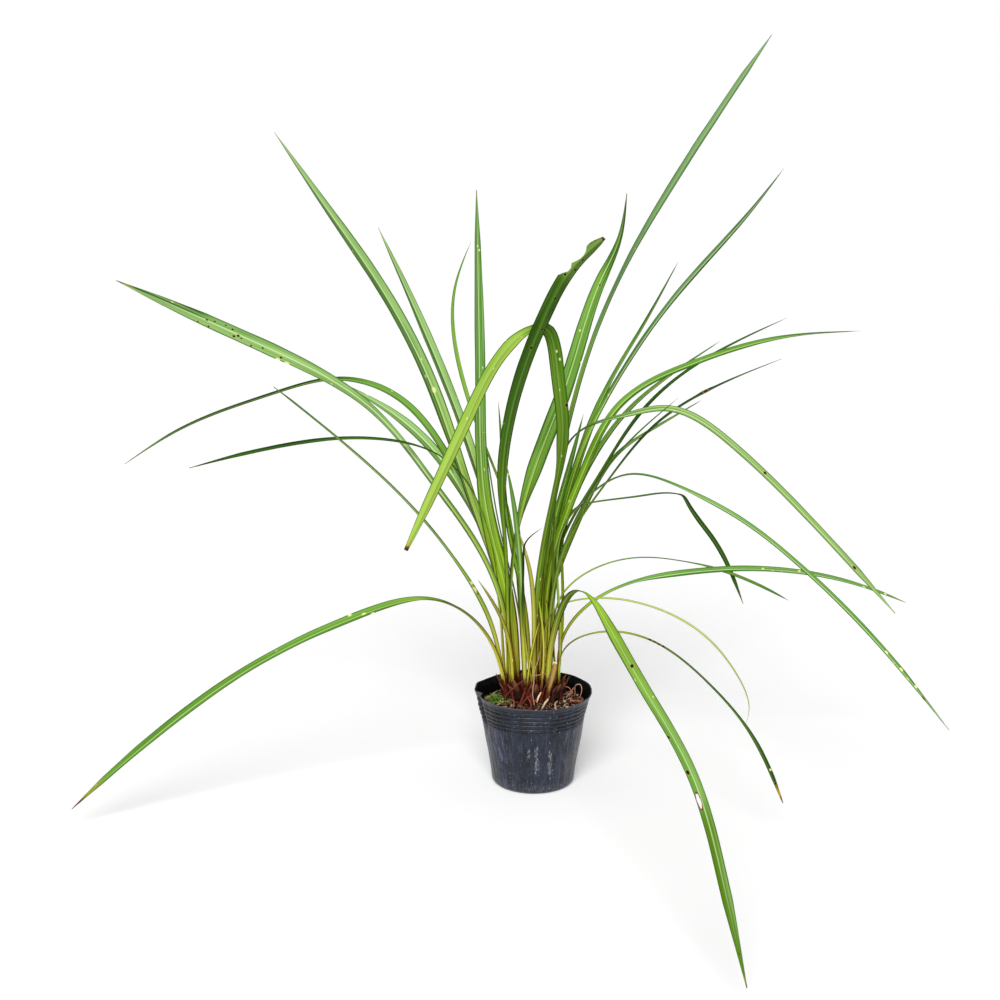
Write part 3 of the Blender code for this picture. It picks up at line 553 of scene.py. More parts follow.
class Paint:
    """A Principled material: a first colour, then coats of other colours over masks."""

    def __init__(self, name, colour, **constants):
        self.material = bpy.data.materials.new(name)
        self.material.use_nodes = True
        self.tree = self.material.node_tree
        self.shader = self.tree.nodes["Principled BSDF"]
        self.colour = colour
        for words, value in constants.items():
            self.shader.inputs[words.replace("_", " ")].default_value = value

    def feed(self, socket, value):
        """Link a signal to the socket, or set the socket to a number, vector or colour."""
        if isinstance(value, Signal):
            self.tree.links.new(value.socket, socket)
        elif socket.type == "RGBA":
            socket.default_value = (*(linear(value) if isinstance(value, str) else value), 1.0)
        else:
            socket.default_value = value

    def node(self, kind, *inputs, **settings):
        """A new node; inputs go to its sockets in order."""
        node = self.tree.nodes.new(kind)
        for setting, value in settings.items():
            setattr(node, setting, value)
        for socket, value in zip(node.inputs, inputs):
            self.feed(socket, value)
        return node

    def signal(self, kind, *inputs, **settings):
        return Signal(self, self.node(kind, *inputs, **settings).outputs[0])

    def attribute(self, name):
        """A vector that the mesh holds."""
        return Signal(self, self.node("ShaderNodeAttribute", attribute_name=name).outputs["Vector"])

    def coordinates(self, kind):
        return Signal(self, self.node("ShaderNodeTexCoord").outputs[kind])

    def place(self):
        """Object coordinates in millimetres."""
        return self.coordinates("Object").stretched(1000, 1000, 1000)

    def mix(self, share, first, second):
        """Colour between first and second."""
        node = self.node("ShaderNodeMix", data_type="RGBA")
        for index, value in ((0, share), (6, first), (7, second)):
            self.feed(node.inputs[index], value)
        return Signal(self, node.outputs[2])

    def coat(self, colour, mask):
        """Lay a colour over the ones so far."""
        self.colour = self.mix(mask, self.colour, colour)

    def done(self, roughness, height, depth):
        """Plug in colour and roughness, and bump from a height of a depth in millimetres."""
        bump = self.node("ShaderNodeBump")
        for name, value in (("Strength", 1.0), ("Distance", depth * MM), ("Height", height)):
            self.feed(bump.inputs[name], value)
        normal = Signal(self, bump.outputs[0])
        for name, value in (("Base Color", self.colour), ("Roughness", roughness), ("Normal", normal)):
            self.feed(self.shader.inputs[name], value)
        return self.material


# Meshes


def new_object(name, data):
    """An object of the scene with its data."""
    obj = bpy.data.objects.new(name, data)
    bpy.context.scene.collection.objects.link(obj)
    return obj


def smooth(mesh, angle):
    """Shade a mesh smooth, with edges sharper than an angle in degrees left sharp."""
    mesh.shade_smooth()
    mesh.set_sharp_from_angle(angle=math.radians(angle))


def new_mesh(name, verts, faces, smooth_angle=None):
    """A mesh object from points in metres."""
    mesh = bpy.data.meshes.new(name)
    mesh.from_pydata([tuple(v) for v in verts], [], faces)
    mesh.update()
    if smooth_angle:
        smooth(mesh, smooth_angle)
    return new_object(name, mesh)


def bmesh_object(name, bm):
    """An object from a bmesh, which is freed."""
    mesh = bpy.data.meshes.new(name)
    bm.to_mesh(mesh)
    bm.free()
    return new_object(name, mesh)


def add_vectors(obj, name, values):
    """A named vector for each point of a mesh."""
    layer = obj.data.attributes.new(name, "FLOAT_VECTOR", "POINT")
    layer.data.foreach_set("vector", np.asarray(values, np.float32).ravel())


def place_piece(obj, finish, slot, *nodes):
    """Give a piece its finish, its body and the solids that it stands for; slot is not used."""
    obj.data.materials.append(finish)
    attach(obj, "root")
    if nodes:
        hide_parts(*nodes)


def sheet_faces(cells, index):
    """Faces of a closed thin sheet of two layers over cells of a grid of rows and columns."""
    faces = []
    for i, k in sorted(cells):
        corners = ((i, k), (i, k + 1), (i + 1, k + 1), (i + 1, k))
        faces.append([index(row, 0, column) for row, column in corners])
        faces.append([index(row, 1, column) for row, column in (corners[0], *corners[:0:-1])])
        beside = ((i - 1, k), (i, k + 1), (i + 1, k), (i, k - 1))
        for side, neighbour in enumerate(beside):
            if neighbour not in cells:
                (row, column), (next_row, next_column) = corners[side], corners[(side + 1) % 4]
                faces.append([index(row, 0, column), index(row, 1, column),
                              index(next_row, 1, next_column), index(next_row, 0, next_column)])
    return faces


def lathe(name, rings, place, columns, smooth_angle=None):
    """A closed mesh from rings of points; a ring with no width is a single point."""
    angles = [FULL_TURN * column / columns for column in range(columns)]
    verts, rows = [], []
    for ring in rings:
        first = len(verts)
        if ring[0] == "pole":
            verts.append(Vector((0, 0, ring[2])) * MM)
            rows.append([first] * columns)
        else:
            verts += [place(*ring, angle) * MM for angle in angles]
            rows.append(list(range(first, first + columns)))
    faces = []
    for upper, lower in zip(rows, rows[1:] + rows[:1]):
        for k in range(columns):
            after = (k + 1) % columns
            unique = list(dict.fromkeys((upper[k], lower[k], lower[after], upper[after])))
            if len(unique) > 2:
                faces.append(unique)
    return new_mesh(name, verts, faces, smooth_angle)


class Heap:
    """Points and faces of many small closed lumps, with a tone for each point."""

    def __init__(self):
        self.verts = []
        self.faces = []
        self.tones = []

    def add(self, verts, faces, tones):
        first = len(self.verts)
        self.verts += [v * MM for v in verts]
        self.faces += [[first + index for index in face] for face in faces]
        self.tones += tones

    def piece(self, name, finish, slot, *nodes, smooth_angle=None):
        """The heap as one object on the body."""
        obj = new_mesh(name, self.verts, self.faces, smooth_angle)
        add_vectors(obj, "tone", self.tones)
        place_piece(obj, finish, slot, *nodes)


# Curves and wiggles


def second_derivatives(stations, values):
    """Second derivatives of the natural cubic spline through the values."""
    count = len(stations)
    gaps = np.diff(stations)
    matrix = np.eye(count)
    right = np.zeros_like(values)
    for i in range(1, count - 1):
        matrix[i, i - 1:i + 2] = gaps[i - 1], 2 * (gaps[i - 1] + gaps[i]), gaps[i]
        right[i] = 6 * ((values[i + 1] - values[i]) / gaps[i] - (values[i] - values[i - 1]) / gaps[i - 1])
    return np.linalg.solve(matrix, right)


def smooth_curve(knots, spacing):
    """Points about every spacing along the natural cubic spline through the knots."""
    knots = np.array(knots, float)
    lengths = np.linalg.norm(np.diff(knots, axis=0), axis=1)
    bends = second_derivatives(np.concatenate(([0.0], np.cumsum(lengths))), knots)
    points = [knots[0]]
    for i, length in enumerate(lengths):
        pieces = max(1, round(length / spacing))
        for piece in range(1, pieces + 1):
            b = piece / pieces
            a = 1 - b
            bow = ((a ** 3 - a) * bends[i] + (b ** 3 - b) * bends[i + 1]) * length ** 2 / 6
            points.append(a * knots[i] + b * knots[i + 1] + bow)
    return [Vector(point) for point in points]


def ease(share):
    """Smooth step from 0 to 1."""
    share = min(max(share, 0.0), 1.0)
    return share * share * (3 - 2 * share)


def between(pairs, share):
    """Smoothly blended value from pairs of share and value."""
    for (low, first), (high, second) in zip(pairs, pairs[1:]):
        if share <= high:
            return first + (second - first) * ease((share - low) / (high - low))
    return pairs[-1][1]


def bumps(x, y, z):
    """Smooth noise from -1 to 1 at a place."""
    return noise.noise(Vector((x, y, z)))


def wander(seed, along, wavelength):
    """A smooth wiggle from -1 to 1 along a length."""
    return bumps(seed * 13.7, along / wavelength, 0.5)


def hump(offset):
    """A bell that is 1 at an offset of 0."""
    return math.exp(-offset ** 2)


def level_way(angle):
    """The level direction at an angle in radians from +X."""
    return Vector((math.cos(angle), math.sin(angle), 0))


# Leaves


def leaf_knots(shape):
    """World points of a leaf's path in millimetres, and the direction to its left."""
    angle = math.radians(shape["azimuth"])
    ahead = level_way(angle)
    left = Vector((-ahead.y, ahead.x, 0))
    foot = Vector((*shape["foot"], 0))
    knots = [foot + Vector((0, 0, LEAF_FOOT_Z))]
    for reach, height, *side in shape["path"]:
        knots.append(foot + ahead * reach + left * (side[0] if side else 0) + Vector((0, 0, height)))
    return knots, left


def blade_width(shape, share):
    """Width of the blade at a share of its length, next to its full width."""
    if "widths" in shape:
        shares, widths = zip(*shape["widths"])
        return float(np.interp(share, shares, widths))
    grown = FOOT_WIDTH + (1 - FOOT_WIDTH) * ease(share / FULL_WIDTH_AT)
    past = max(0.0, (share - TAPER_FROM) / (1 - TAPER_FROM))
    return max(grown * (1 - past ** TAPER_POWER), 0.02)


def blade_fold(shape, share):
    """Angle between each half of the blade and the middle of its fold, in degrees."""
    if "folds" in shape:
        return between(shape["folds"], share)
    return FOOT_FOLD + (BLADE_FOLD - FOOT_FOLD) * ease(share / OPEN_AT)


def blade_turn(shape, share):
    """Roll of the blade about its length, in degrees."""
    turn = shape["turn"]
    if isinstance(turn[0], tuple):
        return between(turn, share)
    return turn[0] + (turn[1] - turn[0]) * share


def bitten_edge(shape, side, along):
    """How much of the half width is left on one side at a distance along the leaf."""
    left = 1.0
    for start, end, bite_side, depth in shape["bites"]:
        if bite_side == side and start < along < end:
            left = min(left, 1 - depth * math.sin(math.pi * (along - start) / (end - start)) ** 0.5)
    return left


def section_axes(tangent, left, roll):
    """The blade's sideways and inward directions, rolled about the leaf's length."""
    side = (left - tangent * left.dot(tangent)).normalized()
    across = side * math.cos(roll) + tangent.cross(side) * math.sin(roll)
    return across, tangent.cross(across)


def leaf_rows(shape, seed):
    """Upper and lower points of every row across a leaf, with their place on the leaf."""
    knots, left = leaf_knots(shape)
    line = smooth_curve(knots, shape["spacing"])
    distance = np.concatenate(([0.0], np.cumsum([(b - a).length for a, b in zip(line, line[1:])])))
    total = distance[-1]
    half_columns = shape["columns"]
    columns = [-column for column in half_columns[:0:-1]] + list(half_columns)
    rows = []
    for i, point in enumerate(line):
        along = distance[i]
        share = along / total
        tangent = (line[min(i + 1, len(line) - 1)] - line[max(i - 1, 0)]).normalized()
        loose = ease(along / STEADY_TO)
        roll = blade_turn(shape, share) + ROLL_WANDER * loose * wander(seed, along, ROLL_WAVE)
        across, inward = section_axes(tangent, left, math.radians(roll))
        half = 0.5 * shape["width"] * blade_width(shape, share)
        fold = math.radians(blade_fold(shape, share))
        fold += FOLD_WANDER * loose * wander(seed + 3, along, FOLD_WAVE)
        thick = shape["thick"] + FOOT_THICKER * (1 - ease(along / FOOT_THICK_TO))
        row = []
        for column in columns:
            sign = -1 if column < 0 else 1
            uneven = 1 + EDGE_WANDER * loose * wander(seed + 5 * sign, along, EDGE_WAVE)
            s = column * bitten_edge(shape, sign, along) * uneven
            spread = fold + math.radians(CURL) * abs(s)
            keel = math.sqrt(s * s + KEEL_ROUND ** 2)
            top = point + across * (s * half * math.sin(spread))
            top += inward * (half * (keel - KEEL_ROUND) * math.cos(spread))
            normal = (inward * math.sin(spread) - across * (s / keel) * math.cos(spread)).normalized()
            depth = thick * (EDGE_THICKNESS + (KEEL_THICKNESS - EDGE_THICKNESS) * (1 - abs(column)) ** 1.5)
            under = top - normal * min(depth, 0.6 * half + 0.05)
            row.append((top, under, (share, s, s * half, along, total - along)))
        rows.append(row)
    return rows


def level_foot(rows):
    """Slide the first row along the leaf so that the leaf stands flat on the crown."""
    first, second = rows[0], rows[1]
    for k, (top, under, place) in enumerate(first):
        moved = []
        for point, ahead in ((top, second[k][0]), (under, second[k][1])):
            run = (ahead - point).normalized()
            moved.append(point + run * ((LEAF_FOOT_Z - point.z) / max(run.z, 0.3)))
        first[k] = (*moved, place)


def in_hole(shape, side, along):
    """Whether a point of the leaf lies in its hole."""
    if "hole" not in shape:
        return False
    hole_along, hole_side, length, width = shape["hole"]
    return ((along - hole_along) / length) ** 2 + ((side - hole_side) / width) ** 2 < 0.25


def painted_half_light(shape, share, across):
    """Painted light on one half of the blade at a share of its length: paler above zero, painted shade below
    zero.
    """
    left = between([(at, light) for at, light, _ in shape["halves"]], share)
    right = between([(at, light) for at, _, light in shape["halves"]], share)
    return left + (right - left) * ease(0.5 + 2 * across)


def leaf_object(name, shape, seed):
    """A closed thin blade: its upper side, its lower side and the margins between them."""
    rows = leaf_rows(shape, seed)
    level_foot(rows)
    count = len(rows[0])
    verts, leaf_values, place_values, painted_light_values = [], [], [], []
    for row in rows:
        for layer in (0, 1):
            for entry in row:
                share, across, side, along, to_tip = entry[2]
                verts.append(entry[layer] * MM)
                leaf_values.append((share, across, layer))
                place_values.append((along, side, to_tip))
                # Painted light and painted shade on this point's half of the blade
                painted_light_values.append((painted_half_light(shape, share, across), 0, 0))
    cells = set()
    for i, (row, after) in enumerate(zip(rows, rows[1:])):
        for k in range(count - 1):
            corners = (row[k], row[k + 1], after[k], after[k + 1])
            side, along = [sum(corner[2][n] for corner in corners) / 4 for n in (2, 3)]
            if not in_hole(shape, side, along):
                cells.add((i, k))
    faces = sheet_faces(cells, lambda i, layer, k: (2 * i + layer) * count + k)
    obj = new_mesh(name, verts, faces, LEAF_SHARP)
    add_vectors(obj, "leaf", leaf_values)
    add_vectors(obj, "place", place_values)
    add_vectors(obj, "light", painted_light_values)
    return obj


def spot_mask(place, spots, grow):
    """Ragged spots at given places: along the leaf, across it and their radius."""
    mask = 0.0
    ragged = place.noise(1.3, 1.3, 0, detail=2) - 0.5
    for along, side, radius in spots:
        near = place.stretched(0.7, 1, 0).distance(0.7 * along, side, 0) + ragged * (0.8 * radius)
        mask = near.fall(radius * grow, radius * (grow + 0.5)).most(mask)
    return mask


def coat_marks(paint, place, shape):
    """The spots, scars and hole of one leaf."""
    if shape["spots"]:
        paint.coat(SPOT_HALO, spot_mask(place, shape["spots"], 0.9) * 0.35)
        paint.coat(SPOT_BROWN, spot_mask(place, shape["spots"], 0.6))
    if "hole" in shape:
        along, side, length, width = shape["hole"]
        away = place.stretched(1 / length, 1 / width, 0).distance(along / length, side / width, 0)
        paint.coat(HOLE_RIM, away.fall(0.54, 0.66))
    if shape["scars"]:
        paint.coat(FLECK_PALE, spot_mask(place, shape["scars"], 0.6) * 0.9)


def leaf_finish(name, shape, seed):
    """Streaked green blade with a pale midrib, a yellow-brown foot, a brown tip and flecks."""
    shade, blade, pale, under, midrib_pale = TONES[shape["tone"]]
    paint = Paint(name + "_finish", blade, Specular_IOR_Level=0.05)
    place = paint.attribute("place")
    along, side, to_tip = place.parts()
    share, across, below = paint.attribute("leaf").parts()
    light = paint.attribute("light").parts()[0]
    flat = place.stretched(1, 1, 0).vector("ADD", (seed * 71.0, 0, seed * 7.0))
    broad = flat.noise(0.012, 0.14, 1, detail=2)
    band = flat.noise(0.003, 0.55, 1, detail=1)
    streak = flat.noise(0.006, 1.1, 1, roughness=0.7)
    vein = flat.noise(0.004, 2.6, 1, detail=1)

    # The blade, limier low down, then the painted light and painted shade on its halves, and its streaks
    lower = share.fall(0.22, shape["lower"]) * 0.95
    shade = paint.mix(lower, shade, LOWER_SHADE)
    pale = paint.mix(lower, pale, LOWER_PALE)
    paint.coat(LOWER_BLADE, lower)
    paint.coat(under, below * 0.7)
    paint.coat(shade, broad.fall(0.34, 0.52) * 0.6)
    # Painted light and painted shade on each half, near black where the painted shade is deepest
    paint.coat(pale, light.most(0.0))
    paint.coat(shade, (light * -1.0).most(0.0))
    paint.coat(EDGE_AND_SHADE_DARK, (light * -1.0 - 1.0).most(0.0))
    stripes = shape["stripes"]
    paint.coat(pale, band.rise(0.48, 0.6) * (0.55 * stripes))
    paint.coat(shade, streak.fall(0.38, 0.46) * (0.55 * stripes))
    paint.coat(pale, streak.rise(0.54, 0.66) * (0.45 * stripes))
    paint.coat(shade, vein.rise(0.52, 0.62) * 0.25)

    # The foot, the midrib and the margins
    foot = paint.mix(band.rise(0.42, 0.6), FOOT_OLIVE, FOOT_YELLOW)
    foot = paint.mix(vein.fall(0.4, 0.5) * 0.5, foot, MARGIN_BROWN)
    paint.coat(foot, (along - streak * 70).fall(0.0, shape["foot_length"]) * 0.9)
    from_middle = abs(across)
    midrib = abs(side).fall(0.3, 0.85) * from_middle.fall(0.25, 0.5) * to_tip.rise(0.0, 110.0)
    paint.coat(paint.mix(lower * 0.8, midrib_pale, LOWER_PALE), midrib * shape["rib"])
    paint.coat(paint.mix(0.45, shade, EDGE_AND_SHADE_DARK), from_middle.rise(0.78, 0.9) * 0.8)
    paint.coat(MARGIN_BROWN, from_middle.rise(0.66, 0.86) * along.fall(60.0, 190.0) * 0.9)
    ragged = flat.noise(0.2, 0.9, 1) * 22
    paint.coat(FOOT_BROWN, (along - ragged).fall(2.0, 15.0))

    # The dry tip, pale flecks, rust and the leaf's own marks
    tip_length = shape["tip_length"]
    frayed = to_tip - ragged * (0.04 * tip_length)
    paint.coat(TIP_YELLOW, frayed.fall(tip_length, 3 * tip_length) * shape["tip_yellow"])
    paint.coat(TIP_BROWN, frayed.fall(0.2 * tip_length, tip_length))
    flecks = flat.dots(1 / 13, 1 / 4.2, 1, radius=0.16, share=0.16)
    paint.coat(FLECK_PALE, flecks * 0.75)
    paint.coat(SPOT_BROWN, flat.dots(1 / 31, 1 / 9, 1, radius=0.05, share=0.22) * 0.85)
    coat_marks(paint, place, shape)
    return paint.done(streak * 0.16 + 0.4, vein * 0.6 + flecks * 0.8, 0.15)


def make_leaves():
    """Every leaf, each in place of its solid."""
    for seed, (name, shape) in enumerate(LEAVES.items(), start=SEED):
        blade = leaf_object(name + "_blade", shape, seed)
        place_piece(blade, leaf_finish(name, shape, seed), SLOTS[name], name)


# Pot


def spin(angle, radius, height):
    """A point at an angle in radians about the pot's axis."""
    return level_way(angle) * radius + Vector((0, 0, height))


def degrees_from(angle, middle):
    """How far an angle in radians is past one in degrees, from -180 to 180."""
    return (math.degrees(angle) - middle + 180) % 360 - 180


def pot_radius(height):
    """Radius of the pot's outer wall before its ribs, at a height."""
    heights, radii = zip(*reversed(POT_LINE))
    return float(np.interp(height, heights, radii))


def rib(height):
    """How far the wall stands in below the crests of the ribs under the rim."""
    if not BAND_FOOT < height < BAND_TOP:
        return 0.0
    phase = (BAND_TOP - height) / BAND_PITCH
    return RIB_DEPTH * (1 - abs(math.sin(math.pi * phase)) ** 0.6)


def wall_bend(angle, height):
    """How far the soft wall has moved outward at an angle and height."""
    up = min(max(height / POT_HEIGHT, 0.0), 1.0)
    x, y = math.cos(angle), math.sin(angle)
    bend = 1.9 * up ** 1.5 * bumps(1.2 * x + 4, 1.2 * y, 0.4 * up)
    bend += 0.9 * (1 - 0.6 * up) * bumps(5 * x, 5 * y, 1.2 * up)
    bend += 0.5 * bumps(13 * x, 13 * y + 7, 1.5 * up)
    arc = math.radians(degrees_from(angle, FOLD_ANGLE + 6 * (1 - up))) * pot_radius(height)
    folded = FOLD_DEPTH * ease((height - 48) / 34)
    bend -= folded * hump(arc / FOLD_WIDTH)
    bend += 0.35 * folded * hump((arc + 2.4 * FOLD_WIDTH) / (1.6 * FOLD_WIDTH))
    dent = FRONT_DENT * ease((height - 70) / 25)
    return bend - dent * hump(degrees_from(angle, FRONT_ANGLE) / FRONT_SPREAD)


def rim_rise(angle):
    """How far the soft rim rises or dips at an angle."""
    rise = CORNER_RISE * hump(degrees_from(angle, RIM_CORNER) / CORNER_SPREAD)
    rise += BACK_RISE * hump(degrees_from(angle, BACK_ANGLE) / BACK_SPREAD)
    return rise + 0.9 * bumps(1.7 * math.cos(angle), 1.7 * math.sin(angle), 9.0)


def pot_rings():
    """Rings down the outside, across the underside, then up the inside: kind, radius, height."""
    lip = ((-0.5, 0.1), (0.15, -0.25), (0.3, -0.9), (-0.1, -1.6))
    rings = [("lip", out, POT_HEIGHT + up) for out, up in lip]
    heights = [*np.linspace(POT_HEIGHT - 2.6, BAND_TOP, 4),
               *np.linspace(BAND_TOP, BAND_FOOT, 10 * BAND_RIBS + 1)[1:],
               *np.linspace(BAND_FOOT, POT_CORNER, 22)[1:]]
    rings += [("outer", 0.0, height) for height in heights]
    foot = pot_radius(POT_CORNER)
    for step in range(1, 7):
        angle = math.radians(15 * step)
        rings.append(("flat", foot - POT_CORNER * (1 - math.cos(angle)), POT_CORNER * (1 - math.sin(angle))))
    rings += [("flat", SOLE_RADIUS, 0.5), *(("flat", radius, POT_SOLE) for radius in FLOOR_RINGS)]
    rings += [("pole", 0.0, POT_SOLE), ("pole", 0.0, POT_FLOOR_TOP)]
    rings += [("flat", radius, POT_FLOOR_TOP) for radius in (*FLOOR_RINGS[::-1], foot - POT_CORNER)]
    rings.append(("flat", foot - 2.2, POT_FLOOR_TOP + 2.0))
    rings += [("inner", 0.0, height) for height in np.linspace(POT_CORNER + 1, POT_HEIGHT - 1.5, 26)]
    return rings + [("lip", -POT_WALL - 0.1, POT_HEIGHT - 0.35)]


def ring_point(kind, radius, height, angle):
    """Point of one of the pot's rings."""
    if kind == "flat":
        return spin(angle, radius, height)
    around = pot_radius(height) + wall_bend(angle, height)
    level = height + rim_rise(angle) * ease((height - 80) / 15)
    if kind == "lip":
        return spin(angle, around + radius, level)
    if kind == "inner":
        return spin(angle, around - POT_WALL - 0.5 * rib(height), level)
    return spin(angle, around - rib(height), level)


def drill_floor(pot):
    """Cut the ring of drain holes through the pot's floor."""
    bm = bmesh.new()
    radius = DRAIN_RADIUS * MM
    for hole in range(DRAIN_HOLES):
        drill = bmesh.ops.create_cone(bm, cap_ends=True, segments=24, radius1=radius, radius2=radius,
                                      depth=DRILL_LENGTH * MM)
        place = spin(FULL_TURN * hole / DRAIN_HOLES, DRAIN_RING, 0) * MM
        bmesh.ops.translate(bm, verts=drill["verts"], vec=place)
    drills = bmesh_object("drills", bm)
    cut = pot.modifiers.new("drain_holes", "BOOLEAN")
    cut.object = drills
    cut.solver = "EXACT"
    depsgraph = bpy.context.evaluated_depsgraph_get()
    pierced = bpy.data.meshes.new_from_object(pot.evaluated_get(depsgraph))
    pot.modifiers.clear()
    pot.data = pierced
    bpy.data.objects.remove(drills)


def pot_finish():
    """Blue-black soft plastic: vertical scuffs, painted side sheen, pale drips, dust, soil low down, painted
    lip highlight and painted shade inside.
    """
    paint = Paint("pot_finish", POT_COLOURS["dark"], Specular_IOR_Level=0.3)
    place = paint.place()
    x, y, z = place.parts()
    outward = paint.coordinates("Normal").vector("DOT_PRODUCT", place.stretched(1, 1, 0), "Value")
    below_band = z.fall(BAND_FOOT - 4, BAND_FOOT)
    front = y.fall(-30.0, -5.0)
    cloud = place.noise(0.06, 0.06, 0.03, detail=4)
    streak = place.noise(0.3, 0.3, 0.018, detail=4, roughness=0.65)
    hair = place.noise(0.9, 0.9, 0.05, roughness=0.7)
    grain = place.noise(1.2, 1.2, 1.2, detail=4, roughness=0.7)
    splash = place.noise(0.8, 0.8, 0.22, detail=6, roughness=0.85)

    paint.coat(POT_COLOURS["blue"], cloud.rise(0.38, 0.62))
    # Pale vertical scuffs, stronger towards the left and right sides, where they also paint the sheen of the
    # pot's sides
    scuff_and_side_sheen = streak.rise(0.47, 0.66) * (abs(x - 2.0).rise(18.0, 40.0) * 0.5 + 0.12)
    paint.coat(POT_COLOURS["scuff_and_side_sheen"], scuff_and_side_sheen * below_band)
    paint.coat(POT_COLOURS["hair"], hair.rise(0.56, 0.7) * 0.3)
    paint.coat(POT_COLOURS["pit"], grain.fall(0.34, 0.46) * 0.5)
    drips = 0.0
    for middle, low, high in DRIPS:
        reach = z.rise(low, low + 14.0) * z.fall(high - 8.0, high)
        drips = (abs(x - middle).fall(0.5, 4.5) * reach).most(drips)
    stain = (splash + drips * 0.13).rise(0.61, 0.65) * below_band * front
    paint.coat(POT_COLOURS["drip"], stain * 0.7)
    paint.coat(POT_COLOURS["rubbed"], z.fall(4.0, 15.0) * grain.rise(0.52, 0.6) * 0.55)
    low_right = x.rise(26.0, 36.0) * z.fall(26.0, 42.0) * front
    paint.coat(POT_COLOURS["earth"], low_right * grain.rise(0.54, 0.62) * 0.8)
    crease = x.fall(-44.0, -38.0) * z.rise(56.0, 70.0) * front
    paint.coat(POT_COLOURS["crease"], crease * grain.rise(0.5, 0.6) * 0.6)
    dust = place.dots(0.28, 0.28, 0.28, radius=0.14, share=0.4)
    paint.coat(POT_COLOURS["dust"], dust * 0.75)
    # Painted highlight: the top of the lip paler
    paint.coat(POT_COLOURS["lip"], z.rise(POT_HEIGHT - 1.6, POT_HEIGHT - 0.4) * 0.5)
    # Painted shade: the inner wall near black, with dust on it
    inside = outward.fall(-6.0, 0.0) * z.rise(2.0, 6.0)
    paint.coat(paint.mix(dust, POT_COLOURS["inside"], POT_COLOURS["inner_dust"]), inside)
    return paint.done(grain * 0.3 + scuff_and_side_sheen * 0.25 + 0.14, streak * 1.5 + grain * 0.4 + stain, 0.45)


def make_pot():
    """The thin soft pot with its ribs, fold and drain holes."""
    pot = lathe("pot_shell", pot_rings(), ring_point, POT_COLUMNS, POT_SHARP)
    drill_floor(pot)
    smooth(pot.data, POT_SHARP)
    place_piece(pot, pot_finish(), SLOTS["pot"], "pot")


# Soil and moss


def oval(x, y, centre, radii):
    """Distance from an oval's centre as a share of its radius."""
    return math.hypot((x - centre[0]) / radii[0], (y - centre[1]) / radii[1])


def soil_height(x, y):
    """Height of the soil: rough, a bit higher at the front and round the crown."""
    height = SOIL_LEVEL - SOIL_SLOPE * y
    height += SOIL_ROUGHNESS * (bumps(x / 14, y / 14, 1.0) + 0.6 * bumps(x / 4, y / 4, 5.0))
    height += 3.0 * (1 - ease(oval(x, y, CROWN_CENTRE, CROWN_SKIRT)))
    return height - 2.0 * ease((math.hypot(x, y) - 44) / 10)


def crown_height(x, y):
    """Height of the crown's fibrous mound over the soil."""
    away = oval(x, y, CROWN_CENTRE, CROWN_RADII)
    ridge = bumps(x / 5, y / 5, 3.0) + 0.6 * bumps(x / 2, y / 2, 8.0)
    height = SOIL_LEVEL + CROWN_RISE * (1 - ease(away)) + 1.8 * ridge * (1 - ease(away - 0.3))
    return height - 3.0 * ease(away - 0.4)


def moss_height(x, y):
    """Height of the moss cushion, uneven at its edge."""
    away = oval(x, y, MOSS_CENTRE, MOSS_RADII) + 0.3 * bumps(x / 6, y / 6, 2.0)
    return soil_height(x, y) - 1.2 + MOSS_RISE * (1 - ease(away)) + 0.6 * bumps(x / 2, y / 2, 4.0)


def mound(name, centre, radii, height, rings, columns):
    """A closed low mound over an oval, with a flat underside in the soil."""
    def place(kind, share, level, angle):
        x = centre[0] + radii[0] * share * math.cos(angle)
        y = centre[1] + radii[1] * share * math.sin(angle)
        return Vector((x, y, height(x, y) if kind == "top" else level))

    bottom = SOIL_LEVEL - MOUND_DEPTH
    layers = [("pole", 0, height(*centre)), *(("top", (i + 1) / rings, None) for i in range(rings))]
    layers += [("ring", 1.0, bottom), ("pole", 0, bottom)]
    obj = lathe(name, layers, place, columns)
    for vert in obj.data.vertices:
        if vert.co.xy.length < 1e-9:
            vert.co.xy = Vector(centre) * MM
    return obj


def soil_point(kind, share, height, angle):
    """Point of the soil block, which fills the bent pot."""
    level = SOIL_LEVEL if kind == "top" else height
    reach = (pot_radius(level) + wall_bend(angle, level) - POT_WALL - RIB_DEPTH - 0.3) * share
    if level < POT_CORNER:
        reach = min(reach, 35.0 * share)
    point = spin(angle, reach, level)
    if kind == "top":
        point.z = soil_height(point.x, point.y)
    return point


def soil_finish():
    """Dark peat with paler crumbs."""
    dark, brown, crumb, damp = SOIL_BROWNS
    paint = Paint("soil_finish", dark, Specular_IOR_Level=0.15)
    place = paint.place()
    crumbs = place.noise(0.9, 0.9, 0.9, detail=5, roughness=0.75)
    paint.coat(brown, crumbs.rise(0.4, 0.66))
    paint.coat(crumb, crumbs.rise(0.62, 0.72) * 0.6)
    paint.coat(damp, place.noise(0.12, 0.12, 0.12, detail=2).rise(0.5, 0.7) * 0.4)
    return paint.done(0.95, crumbs, 1.2)


def crumb_finish(name, tones, depth=0.4):
    """Bark, chips, fibres and roots: each lump's own tone picks its colour along a row."""
    paint = Paint(name, tones[0], Specular_IOR_Level=0.25)
    tone, along = paint.attribute("tone").parts()[:2]
    grain = paint.place().noise(1.4, 1.4, 1.4, roughness=0.7)
    for step, code in enumerate(tones[1:]):
        level = (step + 0.5) / (len(tones) - 1)
        paint.coat(code, tone.rise(level - 0.12, level + 0.12))
    paint.coat(GRAIN_DARK, grain.fall(0.32, 0.5) * 0.55)
    paint.coat(END_DARK, along.rise(0.55, 1.0) * 0.3)
    return paint.done(0.8, grain, depth)


